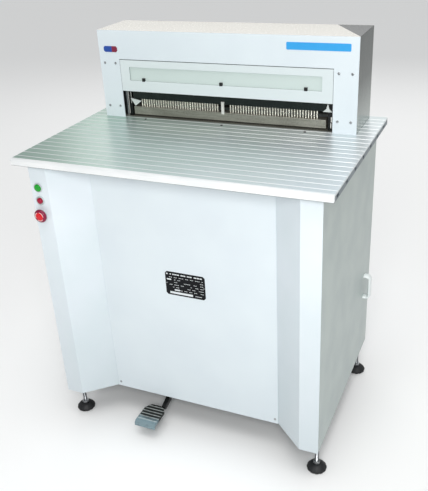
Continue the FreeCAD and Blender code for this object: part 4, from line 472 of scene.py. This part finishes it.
# %% [markdown]
# ## Shapes
# The measured model says which body each of its pieces moves with and which finish slot it has. A small table of
# the bodies saves writing them again for every piece.

# %% What the model says about its pieces
record = frame["record"]
body_of = {node: body for body, members in record["behaviour"]["bodies"].items() for node in members}

# %% [markdown]
# Every new piece ends the same way: points that lie on each other are merged, faces are turned outwards, gentle
# corners are shaded smooth, and the piece rides on its body. A modifier weighs the shading by the size of the
# faces, so that a flat sheet looks flat up to its rounded rim. A piece that takes the place of a measured one
# hides it.

# %% Finishing a piece
def as_mesh(name, shape):
    """Turns a bmesh into a mesh."""
    mesh = bpy.data.meshes.new(name)
    shape.to_mesh(mesh)
    shape.free()
    return mesh


def piece(name, shape, material, node=None, body="machine", slot=None, outward=True, sharp=32, rides=True):
    """Makes an object of a bmesh; it stands for a node where one is named, and rides on its body."""
    if outward:
        bmesh.ops.remove_doubles(shape, verts=shape.verts, dist=1e-6)
        bmesh.ops.recalc_face_normals(shape, faces=shape.faces)
    mesh = as_mesh(name, shape)
    mesh.polygons.foreach_set("use_smooth", [True] * len(mesh.polygons))
    mesh.set_sharp_from_angle(angle=math.radians(sharp))
    mesh.materials.append(material)
    made = put(name, mesh)
    made.modifiers.new("even_shading", "WEIGHTED_NORMAL").keep_sharp = True
    if rides:
        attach(made, body_of[node] if node else body)
    if node:
        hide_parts(node)
    print(name, len(mesh.polygons), "faces")
    return made


# %% [markdown]
# Most covers and machined pieces already have the right shape in the measured model, but with knife edges. Real
# sheet is folded over a radius and real bar has its corners broken, so each edge catches a thin line of light.
# A Bevel modifier could do that; the operator is used instead, because it can pick only sharp edges.

# %% Rounded copies of measured pieces
def round_edges(shape, width, segments=2, sharp=40, among=None):
    """Rounds every edge that is sharper than an angle in degrees."""
    edges = [e for e in among or shape.edges if e.is_manifold and e.calc_face_angle(0) > math.radians(sharp)]
    if edges:
        bmesh.ops.bevel(shape, geom=edges, offset=width, offset_type="OFFSET", segments=segments, profile=0.5,
                        affect="EDGES", clamp_overlap=True, material=-1)


def copy_of(node):
    """A merged copy of a node's mesh, with its flat areas joined back to whole faces."""
    shape = bmesh.new()
    shape.from_mesh(frame["nodes"][node].data)
    bmesh.ops.remove_doubles(shape, verts=shape.verts, dist=1e-5)
    bmesh.ops.dissolve_limit(shape, angle_limit=math.radians(1), verts=shape.verts, edges=shape.edges)
    return shape


def softened(material, segments=2, **widths):
    """Stands for nodes with copies that have a finish and rounded edges, each of its width in millimetres."""
    for node, width in widths.items():
        shape = copy_of(node)
        round_edges(shape, width / 1000, segments)
        piece(node + "_dressed", shape, material, node, outward=False)


print("bodies:", sorted(set(body_of.values())))

# %% [markdown]
# Small turned and boxed details are built from nothing. One helper turns an outline round the Z axis, as a lathe
# does, and one adds a block between two corners. Another gives the move that takes a piece made upright at the
# origin to where it stands, facing where it should, and the last one repeats a finished shape by such moves.

# %% Lathe, block and stand
def only(kind, items):
    """Those of some items that are of one kind: points or edges."""
    return [item for item in items if isinstance(item, kind)]


def middle_of(low, high):
    """The place halfway between two corners."""
    return (Vector(low) + Vector(high)) / 2


def turn_round(shape, outline, steps, move=Matrix()):
    """Turns (radius, height) places round Z, moves the result and returns its points."""
    before = len(shape.verts)
    dots = [shape.verts.new((radius, 0, height)) for radius, height in outline]
    edges = [shape.edges.new(pair) for pair in zip(dots, dots[1:])]
    bmesh.ops.spin(shape, geom=dots + edges, axis=(0, 0, 1), angle=math.tau, steps=steps, use_merge=True)
    shape.verts.ensure_lookup_table()
    made = shape.verts[before:]
    bmesh.ops.transform(shape, matrix=move, verts=made)
    return made


def add_block(shape, low, high):
    """Adds a block between two corners and returns its points."""
    size = Matrix.Diagonal(Vector(high) - Vector(low)).to_4x4()
    return bmesh.ops.create_cube(shape, size=1, matrix=Matrix.Translation(middle_of(low, high)) @ size)["verts"]


def stand(place, facing):
    """The move that takes an upright piece from the origin to its place, with its top facing a direction."""
    return Matrix.Translation(Vector(place)) @ Vector(facing).to_track_quat("Z", "Y").to_matrix().to_4x4()


def repeat_at(shape, template, moves):
    """Adds a copy of a template mesh to a shape for every move."""
    for move in moves:
        before = len(shape.verts)
        shape.from_mesh(template)
        shape.verts.ensure_lookup_table()
        bmesh.ops.transform(shape, matrix=move, verts=shape.verts[before:])


print("lathe and block are ready")

# %% [markdown]
# ## Cabinet
# The cabinet is folded sheet: two corner columns with a slanted face, a front panel set back between them, a
# plain left side, a back and the side door. They are the measured sheets with a brake's radius of under 1 mm.

# %% Cabinet covers
softened(column_paint, right_column=0.7, left_column=0.7)
softened(cabinet_paint, front_panel=0.5, left_side_panel=0.5)
softened(door_paint_shaded, side_door=0.3)
softened(zinc_plate, door_pivots=0.2)

# %% [markdown]
# The back panel breathes through rows of slots. On such panels a press tool pushes each slot's upper lip out
# into a small hood, which keeps drips out. A hood is a block whose lower edge is pulled out from the sheet, by
# moving the block's other outer points back to the sheet.

# %% Back panel and its hoods
softened(cabinet_paint, back_panel=0.4)
panel_low, panel_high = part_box("back_panel")
hood_out = size_before[1][1] - panel_high.y
first_hood, hood_pitch, hood_high, hood_half = 0.2245, 0.018, 0.0055, 0.077
hoods = bmesh.new()
for row in range(8):
    for middle in (panel_low.x / 2, 0, panel_high.x / 2):
        base = first_hood + hood_pitch * row
        corners = add_block(hoods, (middle - hood_half, panel_high.y - 0.0004, base),
                            (middle + hood_half, panel_high.y + hood_out, base + hood_high))
        upper = [v for v in corners if v.co.z > base + hood_high / 2 and v.co.y > panel_high.y]
        bmesh.ops.translate(hoods, verts=upper, vec=(0, -hood_out * 0.9, 0))
round_edges(hoods, 0.0002, 1)
piece("back_panel_hoods", hoods, cabinet_paint, slot="white_paint")

# %% [markdown]
# The door's handle is a white plastic bow. It could be a bent curve with a round bevel, but its section is an
# oblong, so an oblong ring of points is drawn out of the door, swung round a corner, drawn up, and brought back
# the same way. Swinging is the spin operator over a quarter turn, and drawing out is extrude.

# %% Door handle
def draw_out(shape, ring, vector):
    """Extrudes a ring of edges along a vector and returns the new ring."""
    made = bmesh.ops.extrude_edge_only(shape, edges=ring)["geom"]
    bmesh.ops.translate(shape, verts=only(bmesh.types.BMVert, made), vec=vector)
    return only(bmesh.types.BMEdge, made)


def swing(shape, ring, centre, axis, angle, steps):
    """Spins a ring of edges round an axis and returns the last ring."""
    dots = list(dict.fromkeys(v for e in ring for v in e.verts))
    made = bmesh.ops.spin(shape, geom=dots + ring, cent=centre, axis=axis, angle=angle, steps=steps)
    return only(bmesh.types.BMEdge, made["geom_last"])


def close_holes(shape):
    """Fills every open ring of edges."""
    bmesh.ops.holes_fill(shape, edges=[e for e in shape.edges if e.is_boundary], sides=0)


low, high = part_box("door_handle")
grip = 0.011
bend = 0.0105
start_x = low.x + 0.0002
turn_x = high.x - grip / 2 - bend
bow = bmesh.new()
ring_points = bmesh.ops.create_circle(bow, cap_ends=False, segments=20, radius=1)["verts"]
bmesh.ops.scale(bow, vec=(grip / 2, (high.y - low.y) / 2, 1), verts=ring_points)
bmesh.ops.rotate(bow, verts=ring_points, matrix=Matrix.Rotation(math.pi / 2, 3, "Y"))
bmesh.ops.translate(bow, verts=ring_points, vec=(start_x, middle_of(low, high).y, low.z + grip / 2))
ring = draw_out(bow, list(bow.edges), (turn_x - start_x, 0, 0))
ring = swing(bow, ring, (turn_x, 0, low.z + grip / 2 + bend), (0, -1, 0), math.pi / 2, 7)
ring = draw_out(bow, ring, (0, 0, high.z - low.z - grip - 2 * bend))
ring = swing(bow, ring, (turn_x, 0, high.z - grip / 2 - bend), (0, -1, 0), math.pi / 2, 7)
draw_out(bow, ring, (start_x - turn_x, 0, 0))
close_holes(bow)
piece("door_handle_bow", bow, handle_white, "door_handle")

# %% [markdown]
# ## Head
# The head's casing has two cheeks beside the working window. The guard between them is one pressed sheet with a
# shallow recess, and swings up for cleaning. Its three black clips sit on the recess's lower edge.

# %% Head covers
softened(cabinet_paint, head_front=0.5)
softened(wrap_steel_reflections, head_wrap=0.8)
softened(cover_steel, head_back=0.4)
softened(guard_paint_shaded, guard=0.6)
softened(clip_black, guard_clips=0.7)
softened(zinc_plate, guard_pins=0.3)

# %% [markdown]
# The badge is a film in two colours, blue on the left and maroon on the right, with cut corners. The measured
# badge is one piece, so each half is a copy that the bisect operator cuts; the cut is then closed with a face.
# The badge and the long blue label stay bare.

# %% Badge and label
def cut_off(shape, place, outward):
    """Cuts off what lies beyond a plane, and closes the cut with a face."""
    cut = bmesh.ops.bisect_plane(shape, geom=shape.verts[:] + shape.edges[:] + shape.faces[:], dist=1e-6,
                                 plane_co=place, plane_no=outward, clear_outer=True)
    bmesh.ops.edgeloop_fill(shape, edges=only(bmesh.types.BMEdge, cut["geom_cut"]))


badge_low, badge_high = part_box("front_badge")
badge_split = badge_low.x + (badge_high.x - badge_low.x) * 0.6
left_half, right_half = copy_of("front_badge"), copy_of("front_badge")
cut_off(left_half, (badge_split, 0, 0), (1, 0, 0))
cut_off(right_half, (badge_split, 0, 0), (-1, 0, 0))
piece("front_badge_blue", left_half, badge_blue, "front_badge")
piece("front_badge_maroon", right_half, badge_maroon, slot="badge_colours")
softened(label_vinyl, front_label=0.3)

# %% [markdown]
# ## Inside
# Behind the door stand a welded frame of angle steel, two thick side plates that carry the punching tools, the
# eccentric shaft with its clutch and flywheel, the motor, and the bin for the punched chips.

# %% Frame and bin
softened(frame_paint, base_frame=0.8, inner_mounts=0.6, bin_shelf=0.4)
softened(frame_steel, head_frame=1.0)
softened(zinc_plate, chip_bin=0.4, chip_chute=0.4)

# %% [markdown]
# The drive's turned parts are cast or plain steel with a soft chamfer, the belt is rubber, and the motor's round
# case gets the widest rounding.

# %% Drive
softened(hub_iron, shaft_bearings=0.8, clutch_hub=0.8, flywheel=1.2)
softened(frame_steel, eccentric_shaft=0.6, motor_rotor=0.6, clutch_rod=0.5, pull_rods=0.5)
softened(motor_paint, segments=3, motor=2.0)
softened(belt_rubber, drive_belt=1.5)
softened(arm_enamel, clutch_crank=0.8)

# %% [markdown]
# A motor sheds its heat through cast fins round its case. Each fin is one thin ring from the lathe, repeated
# along the motor's axis.

# %% Motor fins
motor_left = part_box("motor")[0].x
motor_y, motor_z = 0.110, 0.237
fin_foot, fin_tip, fin_first, fin_pitch = 0.067, 0.072, 0.018, 0.0085
fin_ring = bmesh.new()
turn_round(fin_ring, [(fin_foot, -0.0012), (fin_tip, -0.0007), (fin_tip, 0.0007), (fin_foot, 0.0012)], 48)
fins = bmesh.new()
fin_places = [(motor_left + fin_first + fin_pitch * i, motor_y, motor_z) for i in range(16)]
fin_mesh = as_mesh("fin_ring", fin_ring)
repeat_at(fins, fin_mesh, [stand(place, (1, 0, 0)) for place in fin_places])
bpy.data.meshes.remove(fin_mesh)
piece("motor_fins", fins, motor_paint, slot="motor_paint")

# %% [markdown]
# The pedal is pulled back by a coil spring. A full spin that also shifts along its axis draws a helix: a small
# ring of points, the wire's section, is spun many times round while it climbs a little over 3 mm a turn. Its
# upper end hangs on the frame and its lower end on the pedal.

# %% Return spring
spring_low, spring_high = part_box("pedal_spring")
wire, coil_pitch = 0.0009, 0.0032
coil_radius = (spring_high.x - spring_low.x) / 2 - wire
coil_long = spring_high.z - spring_low.z - 2 * wire
turns = int(coil_long / coil_pitch)
steps = turns * 12
spring = bmesh.new()
section = bmesh.ops.create_circle(spring, cap_ends=False, segments=6, radius=wire)["verts"]
bmesh.ops.rotate(spring, verts=section, matrix=Matrix.Rotation(math.pi / 2, 3, "X"))
bmesh.ops.translate(spring, verts=section, vec=(coil_radius, 0, 0))
bmesh.ops.spin(spring, geom=spring.verts[:] + spring.edges[:], axis=(0, 0, 1), dvec=(0, 0, coil_long / steps),
               angle=math.tau * turns, steps=steps, use_merge=False)
close_holes(spring)
coil_x, coil_y = middle_of(spring_low, spring_high).xy
bmesh.ops.translate(spring, verts=spring.verts, vec=(coil_x, coil_y, spring_low.z + wire))
coil = piece("pedal_spring_coil", spring, zinc_plate, "pedal_spring", rides=False)
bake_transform(coil)
print(turns, "turns in the spring")

# %% [markdown]
# The control box is a plain enclosure. Its lid stands a little proud of the case, with a soft rim, and a screw
# near each corner holds it.

# %% Control box
softened(box_paint, segments=3, control_box=2.0)
box_low, box_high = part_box("control_box")
lid = bmesh.new()
add_block(lid, (box_high.x - 0.0002, box_low.y + 0.004, box_low.z + 0.004),
          (box_high.x + 0.003, box_high.y - 0.004, box_high.z - 0.004))
round_edges(lid, 0.0012, 3)
piece("control_box_lid", lid, box_paint, slot="box_plastic")

# %% [markdown]
# ## Punching tools
# In the window hang the black ram and its pin holder, with 65 round pins that pass through the guide bar below.
# The guide bar is ground steel, speckled by use. Two black blocks guide the ram at its ends, and a pale gusset
# closes each upper corner of the bar.

# %% Punching tools
softened(guide_steel, die_plate=0.4, guide_bar=0.4)
softened(frame_steel, die_beam=0.5)
softened(block_enamel, end_blocks=0.8)
softened(gusset_paint, bar_gussets=0.8)
softened(dark_screw, paper_stop=0.4)
softened(ram_enamel, ram_bar=1.2, punch_holder=0.5)
softened(post_steel, centre_post=0.5)
softened(pin_steel, punch_pins=0.3)

# %% [markdown]
# Each end block carries a narrow polished strip on its front, which takes up the ram's play. The strips are thin
# blocks with rounded edges, partly a real strip and partly a painted highlight: their steel is near-white and
# mostly non-metallic, and the right one is in two lengths where the bright line on that block is broken.

# %% Strips on the end blocks
blocks_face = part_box("end_blocks")[0].y
strips_and_highlight = bmesh.new()
# painted highlight: the strips' places and lengths follow the bright lines on the blocks
for left, right, bottom, top in ((-0.3345, -0.3325, 0.942, 1.018), (-0.3245, -0.3232, 0.975, 1.014),
                                 (0.3295, 0.3325, 0.943, 0.958), (0.3305, 0.3340, 0.9605, 0.976)):
    add_block(strips_and_highlight, (left, blocks_face - 0.0006, bottom), (right, blocks_face + 0.0002, top))
round_edges(strips_and_highlight, 0.0003, 2)
piece("end_block_strips_and_highlight", strips_and_highlight, post_steel, slot="bright_steel")

# %% [markdown]
# ## Table
# The deck lies on hollow planks whose open ends show as dark slots at the table's side. A rounded edging closes
# the front.

# %% Table
softened(deck_aluminium, table_deck=0.3)
softened(plank_aluminium, table_planks=0.4)
softened(edge_aluminium, table_edge=0.3)

# %% [markdown]
# ## Screws
# Pan-head screws with a cross recess hold the covers. One head is turned from its outline; planes then cut its
# top along the arms of the cross, and the faces inside the arms are pushed down. The finished head is repeated
# at every screw's place, facing out of its sheet.

# %% One screw head
def pan_head(radius, height):
    """A pan head with a cross recess, upright at the origin."""
    shape = bmesh.new()
    turn_round(shape, [(0, height), (radius * 0.5, height * 0.97), (radius * 0.8, height * 0.8),
                       (radius * 0.96, height * 0.45), (radius, 0)], 16)
    bmesh.ops.remove_doubles(shape, verts=shape.verts, dist=1e-6)
    arm = radius * 0.58
    half = radius * 0.13
    for normal in ((1, 0, 0), (0, 1, 0)):
        for offset in (-arm, -half, half, arm):
            bmesh.ops.bisect_plane(shape, geom=shape.verts[:] + shape.edges[:] + shape.faces[:], dist=1e-7,
                                   plane_co=Vector(normal) * offset, plane_no=normal)
    cross = []
    for face in shape.faces:
        x, y, z = face.calc_center_median()
        inside = (abs(x) < half and abs(y) < arm) or (abs(y) < half and abs(x) < arm)
        if inside and z > height / 2:
            cross.append(face)
    sunk = bmesh.ops.extrude_face_region(shape, geom=cross)["geom"]
    bmesh.ops.delete(shape, geom=[f for f in cross if f.is_valid], context="FACES_ONLY")
    bmesh.ops.translate(shape, verts=only(bmesh.types.BMVert, sunk), vec=(0, 0, -height * 0.55))
    bmesh.ops.recalc_face_normals(shape, faces=shape.faces)
    return as_mesh("pan_head", shape)


screw_template = pan_head(0.004, 0.0016)
print("one screw head has", len(screw_template.polygons), "faces")

# %% All screws
head_face, front_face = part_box("head_front")[0].y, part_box("front_panel")[0].y
head_rear, back_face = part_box("head_back")[1].y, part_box("back_panel")[1].y
side_face, deck_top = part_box("left_side_panel")[0].x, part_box("table_deck")[1].z
forwards = [(x, head_face, z) for x in (-0.393, -0.355, 0.355, 0.393) for z in (0.970, 1.106)]
forwards += [(x, front_face, z) for x in (-0.271, 0.271) for z in (0.127, 0.898)]
backwards = [(x, back_face, z) for x in (-0.396, 0.396) for z in (0.135, 0.536, 0.898)]
backwards += [(0, back_face, 0.898), (0, head_rear, 1.171)]
backwards += [(x, head_rear, z) for x in (-0.393, 0.393) for z in (0.970, 1.171)]
leftwards = [(side_face, y, z) for y in (-0.207, 0.276) for z in (0.135, 0.898)]
lid_places = [(box_high.x + 0.003, y, z) for y in (box_low.y + 0.013, box_high.y - 0.013)
              for z in (box_low.z + 0.013, box_high.z - 0.013)]


def screw_heads(name, material, groups, **options):
    """One piece of many screw heads, each group of which faces in one direction."""
    moves = [stand(place, facing) for facing, group in groups for place in group]
    shape = bmesh.new()
    repeat_at(shape, screw_template, moves)
    piece(name, shape, material, outward=False, **options)
    print(len(moves), "screws")


screw_heads("cover_screw_heads", zinc_plate, [((0, -1, 0), forwards), ((0, 1, 0), backwards),
                                              ((-1, 0, 0), leftwards)], node="cover_screws")
screw_heads("table_screw_heads", dark_screw, [((0, 0, 1), [(x, 0.106, deck_top) for x in (-0.262, 0, 0.262)])],
            slot="zinc")
screw_heads("control_box_screws", zinc_plate, [((1, 0, 0), lid_places)], slot="zinc")
bpy.data.meshes.remove(screw_template)

# %% [markdown]
# ## Buttons
# Two push buttons and a mushroom-headed emergency stop sit in the left column, each in a pale collar. The caps
# are moulded with a gently domed face, so they are lathe work: the outline runs from the middle of the face to
# the rim and down the side. The collars' hidden switch bodies stay as measured.

# %% Push buttons
column_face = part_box("left_column")[0].y
button_x = -0.404
toward = (0, -1, 0)
softened(pale_collar, segments=3, switch_bodies=0.8)


def push_button(name, node, height, radius, material):
    """A domed cap that stands 8 mm out of the column."""
    shape = bmesh.new()
    turn_round(shape, [(0, 0.0080), (radius * 0.5, 0.0077), (radius * 0.8, 0.0070), (radius * 0.95, 0.0060),
                       (radius, 0.0048), (radius, 0.0010), (0, 0.0010)], 40,
               stand((button_x, column_face, height), toward))
    return piece(name, shape, material, node, sharp=50)


push_button("start_button_cap", "start_button", 0.843, 0.0108, green_cap)
push_button("stop_button_cap", "stop_button", 0.803, 0.0090, red_cap)

# %% [markdown]
# The emergency stop is a mushroom: a dark crimson skirt that the palm meets, and a brighter red face inside it.
# Three pale arcs on the face say which way to twist it free. Each arc is a short length of band, made by
# spinning a small section through a part of a turn.

# %% Emergency stop
estop_place = stand((button_x, column_face, 0.759), toward)
skirt = bmesh.new()
turn_round(skirt, [(0.0128, 0.0184), (0.0152, 0.0184), (0.0178, 0.0172), (0.0195, 0.0150), (0.0200, 0.0124),
                   (0.0192, 0.0096), (0.0075, 0.0090), (0.0070, 0.0080), (0.0070, 0.0060), (0.0050, 0.0060),
                   (0.0050, -0.0170), (0, -0.0170)], 48, estop_place)
close_holes(skirt)
piece("estop_skirt", skirt, mushroom_rim, "estop_button", sharp=50)
face = bmesh.new()
turn_round(face, [(0, 0.0198), (0.0060, 0.0197), (0.0100, 0.0193), (0.0122, 0.0188), (0.0130, 0.0180),
                  (0, 0.0180)], 48, estop_place)
piece("estop_face", face, mushroom_cap, body="estop_button", slot="estop_plastic", sharp=50)
arcs = bmesh.new()
for third in range(3):
    section = add_block(arcs, (0.0122, -0.00001, 0.0180), (0.0139, 0.00001, 0.0192))
    start = math.tau * third / 3
    bmesh.ops.rotate(arcs, verts=section, matrix=Matrix.Rotation(start, 3, "Z"))
    ends = [f for f in arcs.faces if all(v in section for v in f.verts)]
    side = max(ends, key=lambda f: f.normal.dot(Vector((-math.sin(start), math.cos(start), 0))))
    bmesh.ops.spin(arcs, geom=[side] + list(side.edges) + list(side.verts), axis=(0, 0, 1),
                   angle=math.radians(82), steps=10)
bmesh.ops.transform(arcs, matrix=estop_place, verts=arcs.verts)
piece("estop_arcs", arcs, arrow_ink, body="estop_button", slot="collar_plastic")

# %% [markdown]
# ## Data plate
# The machine's plate is black anodised aluminium with rows of white print. The print is left generic: plain
# bars and dashes that give the same grey texture, with no letter or number in them. They stand 0.1 mm proud, as
# a thick ink does.

# %% Data plate
softened(plate_black, data_plate=0.2)
plate_low, plate_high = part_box("data_plate")
plate_wide = plate_high.x - plate_low.x
plate_tall = plate_high.z - plate_low.z
# left, right and middle height as shares of the plate, and height in millimetres
bars = [(0.03, 0.07, 0.90, 4.0), (0.12, 0.16, 0.90, 3.0), (0.19, 0.23, 0.90, 3.6), (0.24, 0.29, 0.90, 3.6),
        (0.30, 0.36, 0.90, 3.6), (0.40, 0.46, 0.90, 3.6), (0.47, 0.52, 0.90, 3.6), (0.56, 0.61, 0.90, 3.6),
        (0.62, 0.68, 0.90, 3.6), (0.73, 0.80, 0.90, 3.6), (0.81, 0.87, 0.90, 3.6), (0.88, 0.93, 0.90, 3.6),
        (0.04, 0.15, 0.67, 4.6), (0.22, 0.35, 0.235, 4.6), (0.10, 0.68, 0.105, 7.0), (0.74, 0.90, 0.10, 1.6)]
for level, dashes in ((0.77, "0110110111011011011101"), (0.665, "0000101100000000000011"),
                      (0.56, "0000110000111100110011"), (0.45, "0110111011000010011011"),
                      (0.345, "0001011000001101100111"), (0.235, "0000000110110110110011")):
    for i, mark in enumerate(dashes):
        if mark == "1":
            bars.append((0.06 + 0.041 * i, 0.091 + 0.041 * i, level, 1.5))
print_shape = bmesh.new()
for left, right, level, tall in bars:
    middle = plate_low.z + plate_tall * level
    add_block(print_shape, (plate_low.x + plate_wide * left, plate_low.y - 0.0001, middle - tall / 2000),
              (plate_low.x + plate_wide * right, plate_low.y + 0.0001, middle + tall / 2000))
piece("data_plate_print", print_shape, plate_print, slot="handle_plastic")
rivets = bmesh.new()
for x in (plate_low.x + 0.004, plate_high.x - 0.004):
    turn_round(rivets, [(0, 0.0009), (0.0010, 0.0008), (0.0016, 0.0004), (0.0018, 0)], 16,
               stand((x, plate_low.y, plate_low.z + plate_tall / 2), toward))
piece("data_plate_rivets", rivets, zinc_plate, slot="zinc")

# %% [markdown]
# ## Pedal
# The tread narrows at its rear towards the arm: both rear corners are cut off. The bisect operator takes each
# corner off along a slanted plane, and the cut is closed with a face before the edges are rounded.

# %% Pedal
tread = copy_of("pedal_tread")
corner_long, corner_wide = 0.022, 0.016
for side, cut_x in ((-1, tread_low.x), (1, tread_high.x)):
    slant = Vector((side * corner_long, corner_wide, 0)).normalized()
    cut_off(tread, (cut_x, tread_high.y - corner_long, 0), slant)
bmesh.ops.recalc_face_normals(tread, faces=tread.faces)
round_edges(tread, 0.0006, 2, 30)
piece("pedal_tread_cut", tread, tread_iron, "pedal_tread", outward=False)
softened(arm_enamel, pedal_arm=1.0)

# %% [markdown]
# ## Feet
# The machine stands on four levelling feet. Each has a black rubber pad with a grip of twelve scallops round its
# rim, a threaded stud and a nut. The pad is turned, and every fourth column of its rim is drawn in a little. The
# thread is turned too, as a stack of rings: at this size a ring and a helix look the same. The nut is a cone
# with six sides and equal ends.

# %% Levelling feet
stud_top = 0.1185
thread_pitch = 0.00175
thread_count = int((stud_top - 0.022) / thread_pitch)
thread = [(0, 0.022)]
for i in range(thread_count):
    thread += [(0.0052, 0.022 + thread_pitch * i), (0.0060, 0.022 + thread_pitch * (i + 0.5))]
thread += [(0.0052, 0.022 + thread_pitch * thread_count), (0.0044, stud_top), (0, stud_top)]
pad_outline = [(0, 0), (0.0260, 0), (0.0290, 0.0018), (0.0300, 0.0050), (0.0296, 0.0080), (0.0272, 0.0110),
               (0.0240, 0.0147), (0.0200, 0.0184), (0.0155, 0.0212), (0.0110, 0.0220), (0, 0.0220)]


def draw_in(shape, points, every, share):
    """Of points in 48 columns round the Z axis, draws in every second or fourth column to a share."""
    columns = [v for v in points if round(math.atan2(v.co.y, v.co.x) / (math.tau / 48)) % every == 0]
    bmesh.ops.scale(shape, vec=(share, share, 1), verts=columns)


for foot in ("foot_front_right", "foot_front_left", "foot_rear_right", "foot_rear_left"):
    place = Matrix.Translation((*middle_of(*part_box(foot)).xy, 0))
    pad = bmesh.new()
    turn_round(pad, pad_outline, 48)
    rim = [v for v in pad.verts if v.co.xy.length > 0.0235]
    draw_in(pad, rim, 4, 0.955)
    bmesh.ops.transform(pad, matrix=place, verts=pad.verts)
    piece(foot + "_pad", pad, foot_rubber, foot, sharp=60)
    stud = bmesh.new()
    turn_round(stud, thread, 14, place)
    nut_move = place @ Matrix.Translation((0, 0, 0.0265))
    nut = set(bmesh.ops.create_cone(stud, cap_ends=True, cap_tris=False, segments=6, radius1=0.011,
                                    radius2=0.011, depth=0.009, matrix=nut_move)["verts"])
    round_edges(stud, 0.0008, among=[e for e in stud.edges if nut.issuperset(e.verts)])
    piece(foot + "_stud", stud, zinc_plate, body=body_of[foot], slot="zinc", sharp=25)

# %% [markdown]
# ## Cable gland
# A supply cable would enter low on the left side, through a plastic gland. Its cap nut is domed and ribbed for
# grip: the lathe gives the dome, and every second column of the rim is drawn in.

# %% Cable gland
gland_low, gland_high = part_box("cable_gland")
gland = bmesh.new()
turn_round(gland, [(0.0050, 0), (0.0130, 0), (0.0130, 0.0050), (0.0118, 0.0056), (0.0118, 0.0110),
                   (0.0108, 0.0140), (0.0080, 0.0158), (0.0050, 0.0160), (0.0050, 0)], 48)
draw_in(gland, [v for v in gland.verts if 0.0112 < v.co.xy.length < 0.0120 and v.co.z > 0.005], 2, 0.93)
gland_middle = middle_of(gland_low, gland_high)
bmesh.ops.transform(gland, verts=gland.verts,
                    matrix=stand((gland_high.x, gland_middle.y, gland_middle.z), (-1, 0, 0)))
piece("cable_gland_nut", gland, gland_black, "cable_gland", sharp=40)

# %% [markdown]
# ## Floor and light
# The photograph was taken with a light close to the camera, a little right of the machine's front: the right
# column is brighter than the left one, every face gets darker towards the floor, and the column faces that
# turn away to the left are in half shade. A soft lamp beside the camera gives all of that, because its light
# thins out with distance. A weak sun and a pale sky fill the rest, and a broad lamp behind is what the deck
# mirrors. The picture is developed with the plain Standard curve, which keeps white paint white.

# %% Floor
floor_shape = bmesh.new()
bmesh.ops.create_grid(floor_shape, x_segments=1, y_segments=1, size=30)
floor = put("floor", as_mesh("floor", floor_shape))
floor.data.materials.append(finish("floor_matt_white", "F5F5F4", Roughness=0.9)[0])

# %% Light
def soft_lamp(name, place, aim, wide, high, energy):
    """A rectangular lamp that the camera doesn't see."""
    made = put(name, bpy.data.lights.new(name, "AREA"))
    made.data.shape = "RECTANGLE"
    made.data.size = wide
    made.data.size_y = high
    made.data.energy = energy
    made.location = place
    made.rotation_euler = (Vector(aim) - Vector(place)).to_track_quat("-Z", "Y").to_euler()
    made.visible_camera = False


soft_lamp("front_lamp", (0.92, -2.2, 1.92), (0, -0.1, 0.8), 1.0, 0.8, 38)
soft_lamp("back_lamp", (-0.6, 3.6, 3.0), (0, 0, 0.9), 5.0, 2.6, 48)
sun = put("sun", bpy.data.lights.new("sun", "SUN"))
sun.data.energy = 1.35
sun.data.angle = math.radians(40)
sun.rotation_euler = Vector((-0.12, 0.22, -1.0)).to_track_quat("-Z", "Y").to_euler()
world = bpy.data.worlds.new("sky")
world.use_nodes = True
sky = world.node_tree.nodes["Background"].inputs
sky["Color"].default_value = linear("F2F5F8")
sky["Strength"].default_value = 0.31
bpy.context.scene.world = world
bpy.context.scene.view_settings.view_transform = "Standard"
print("lights:", [light.name for light in bpy.data.lights])
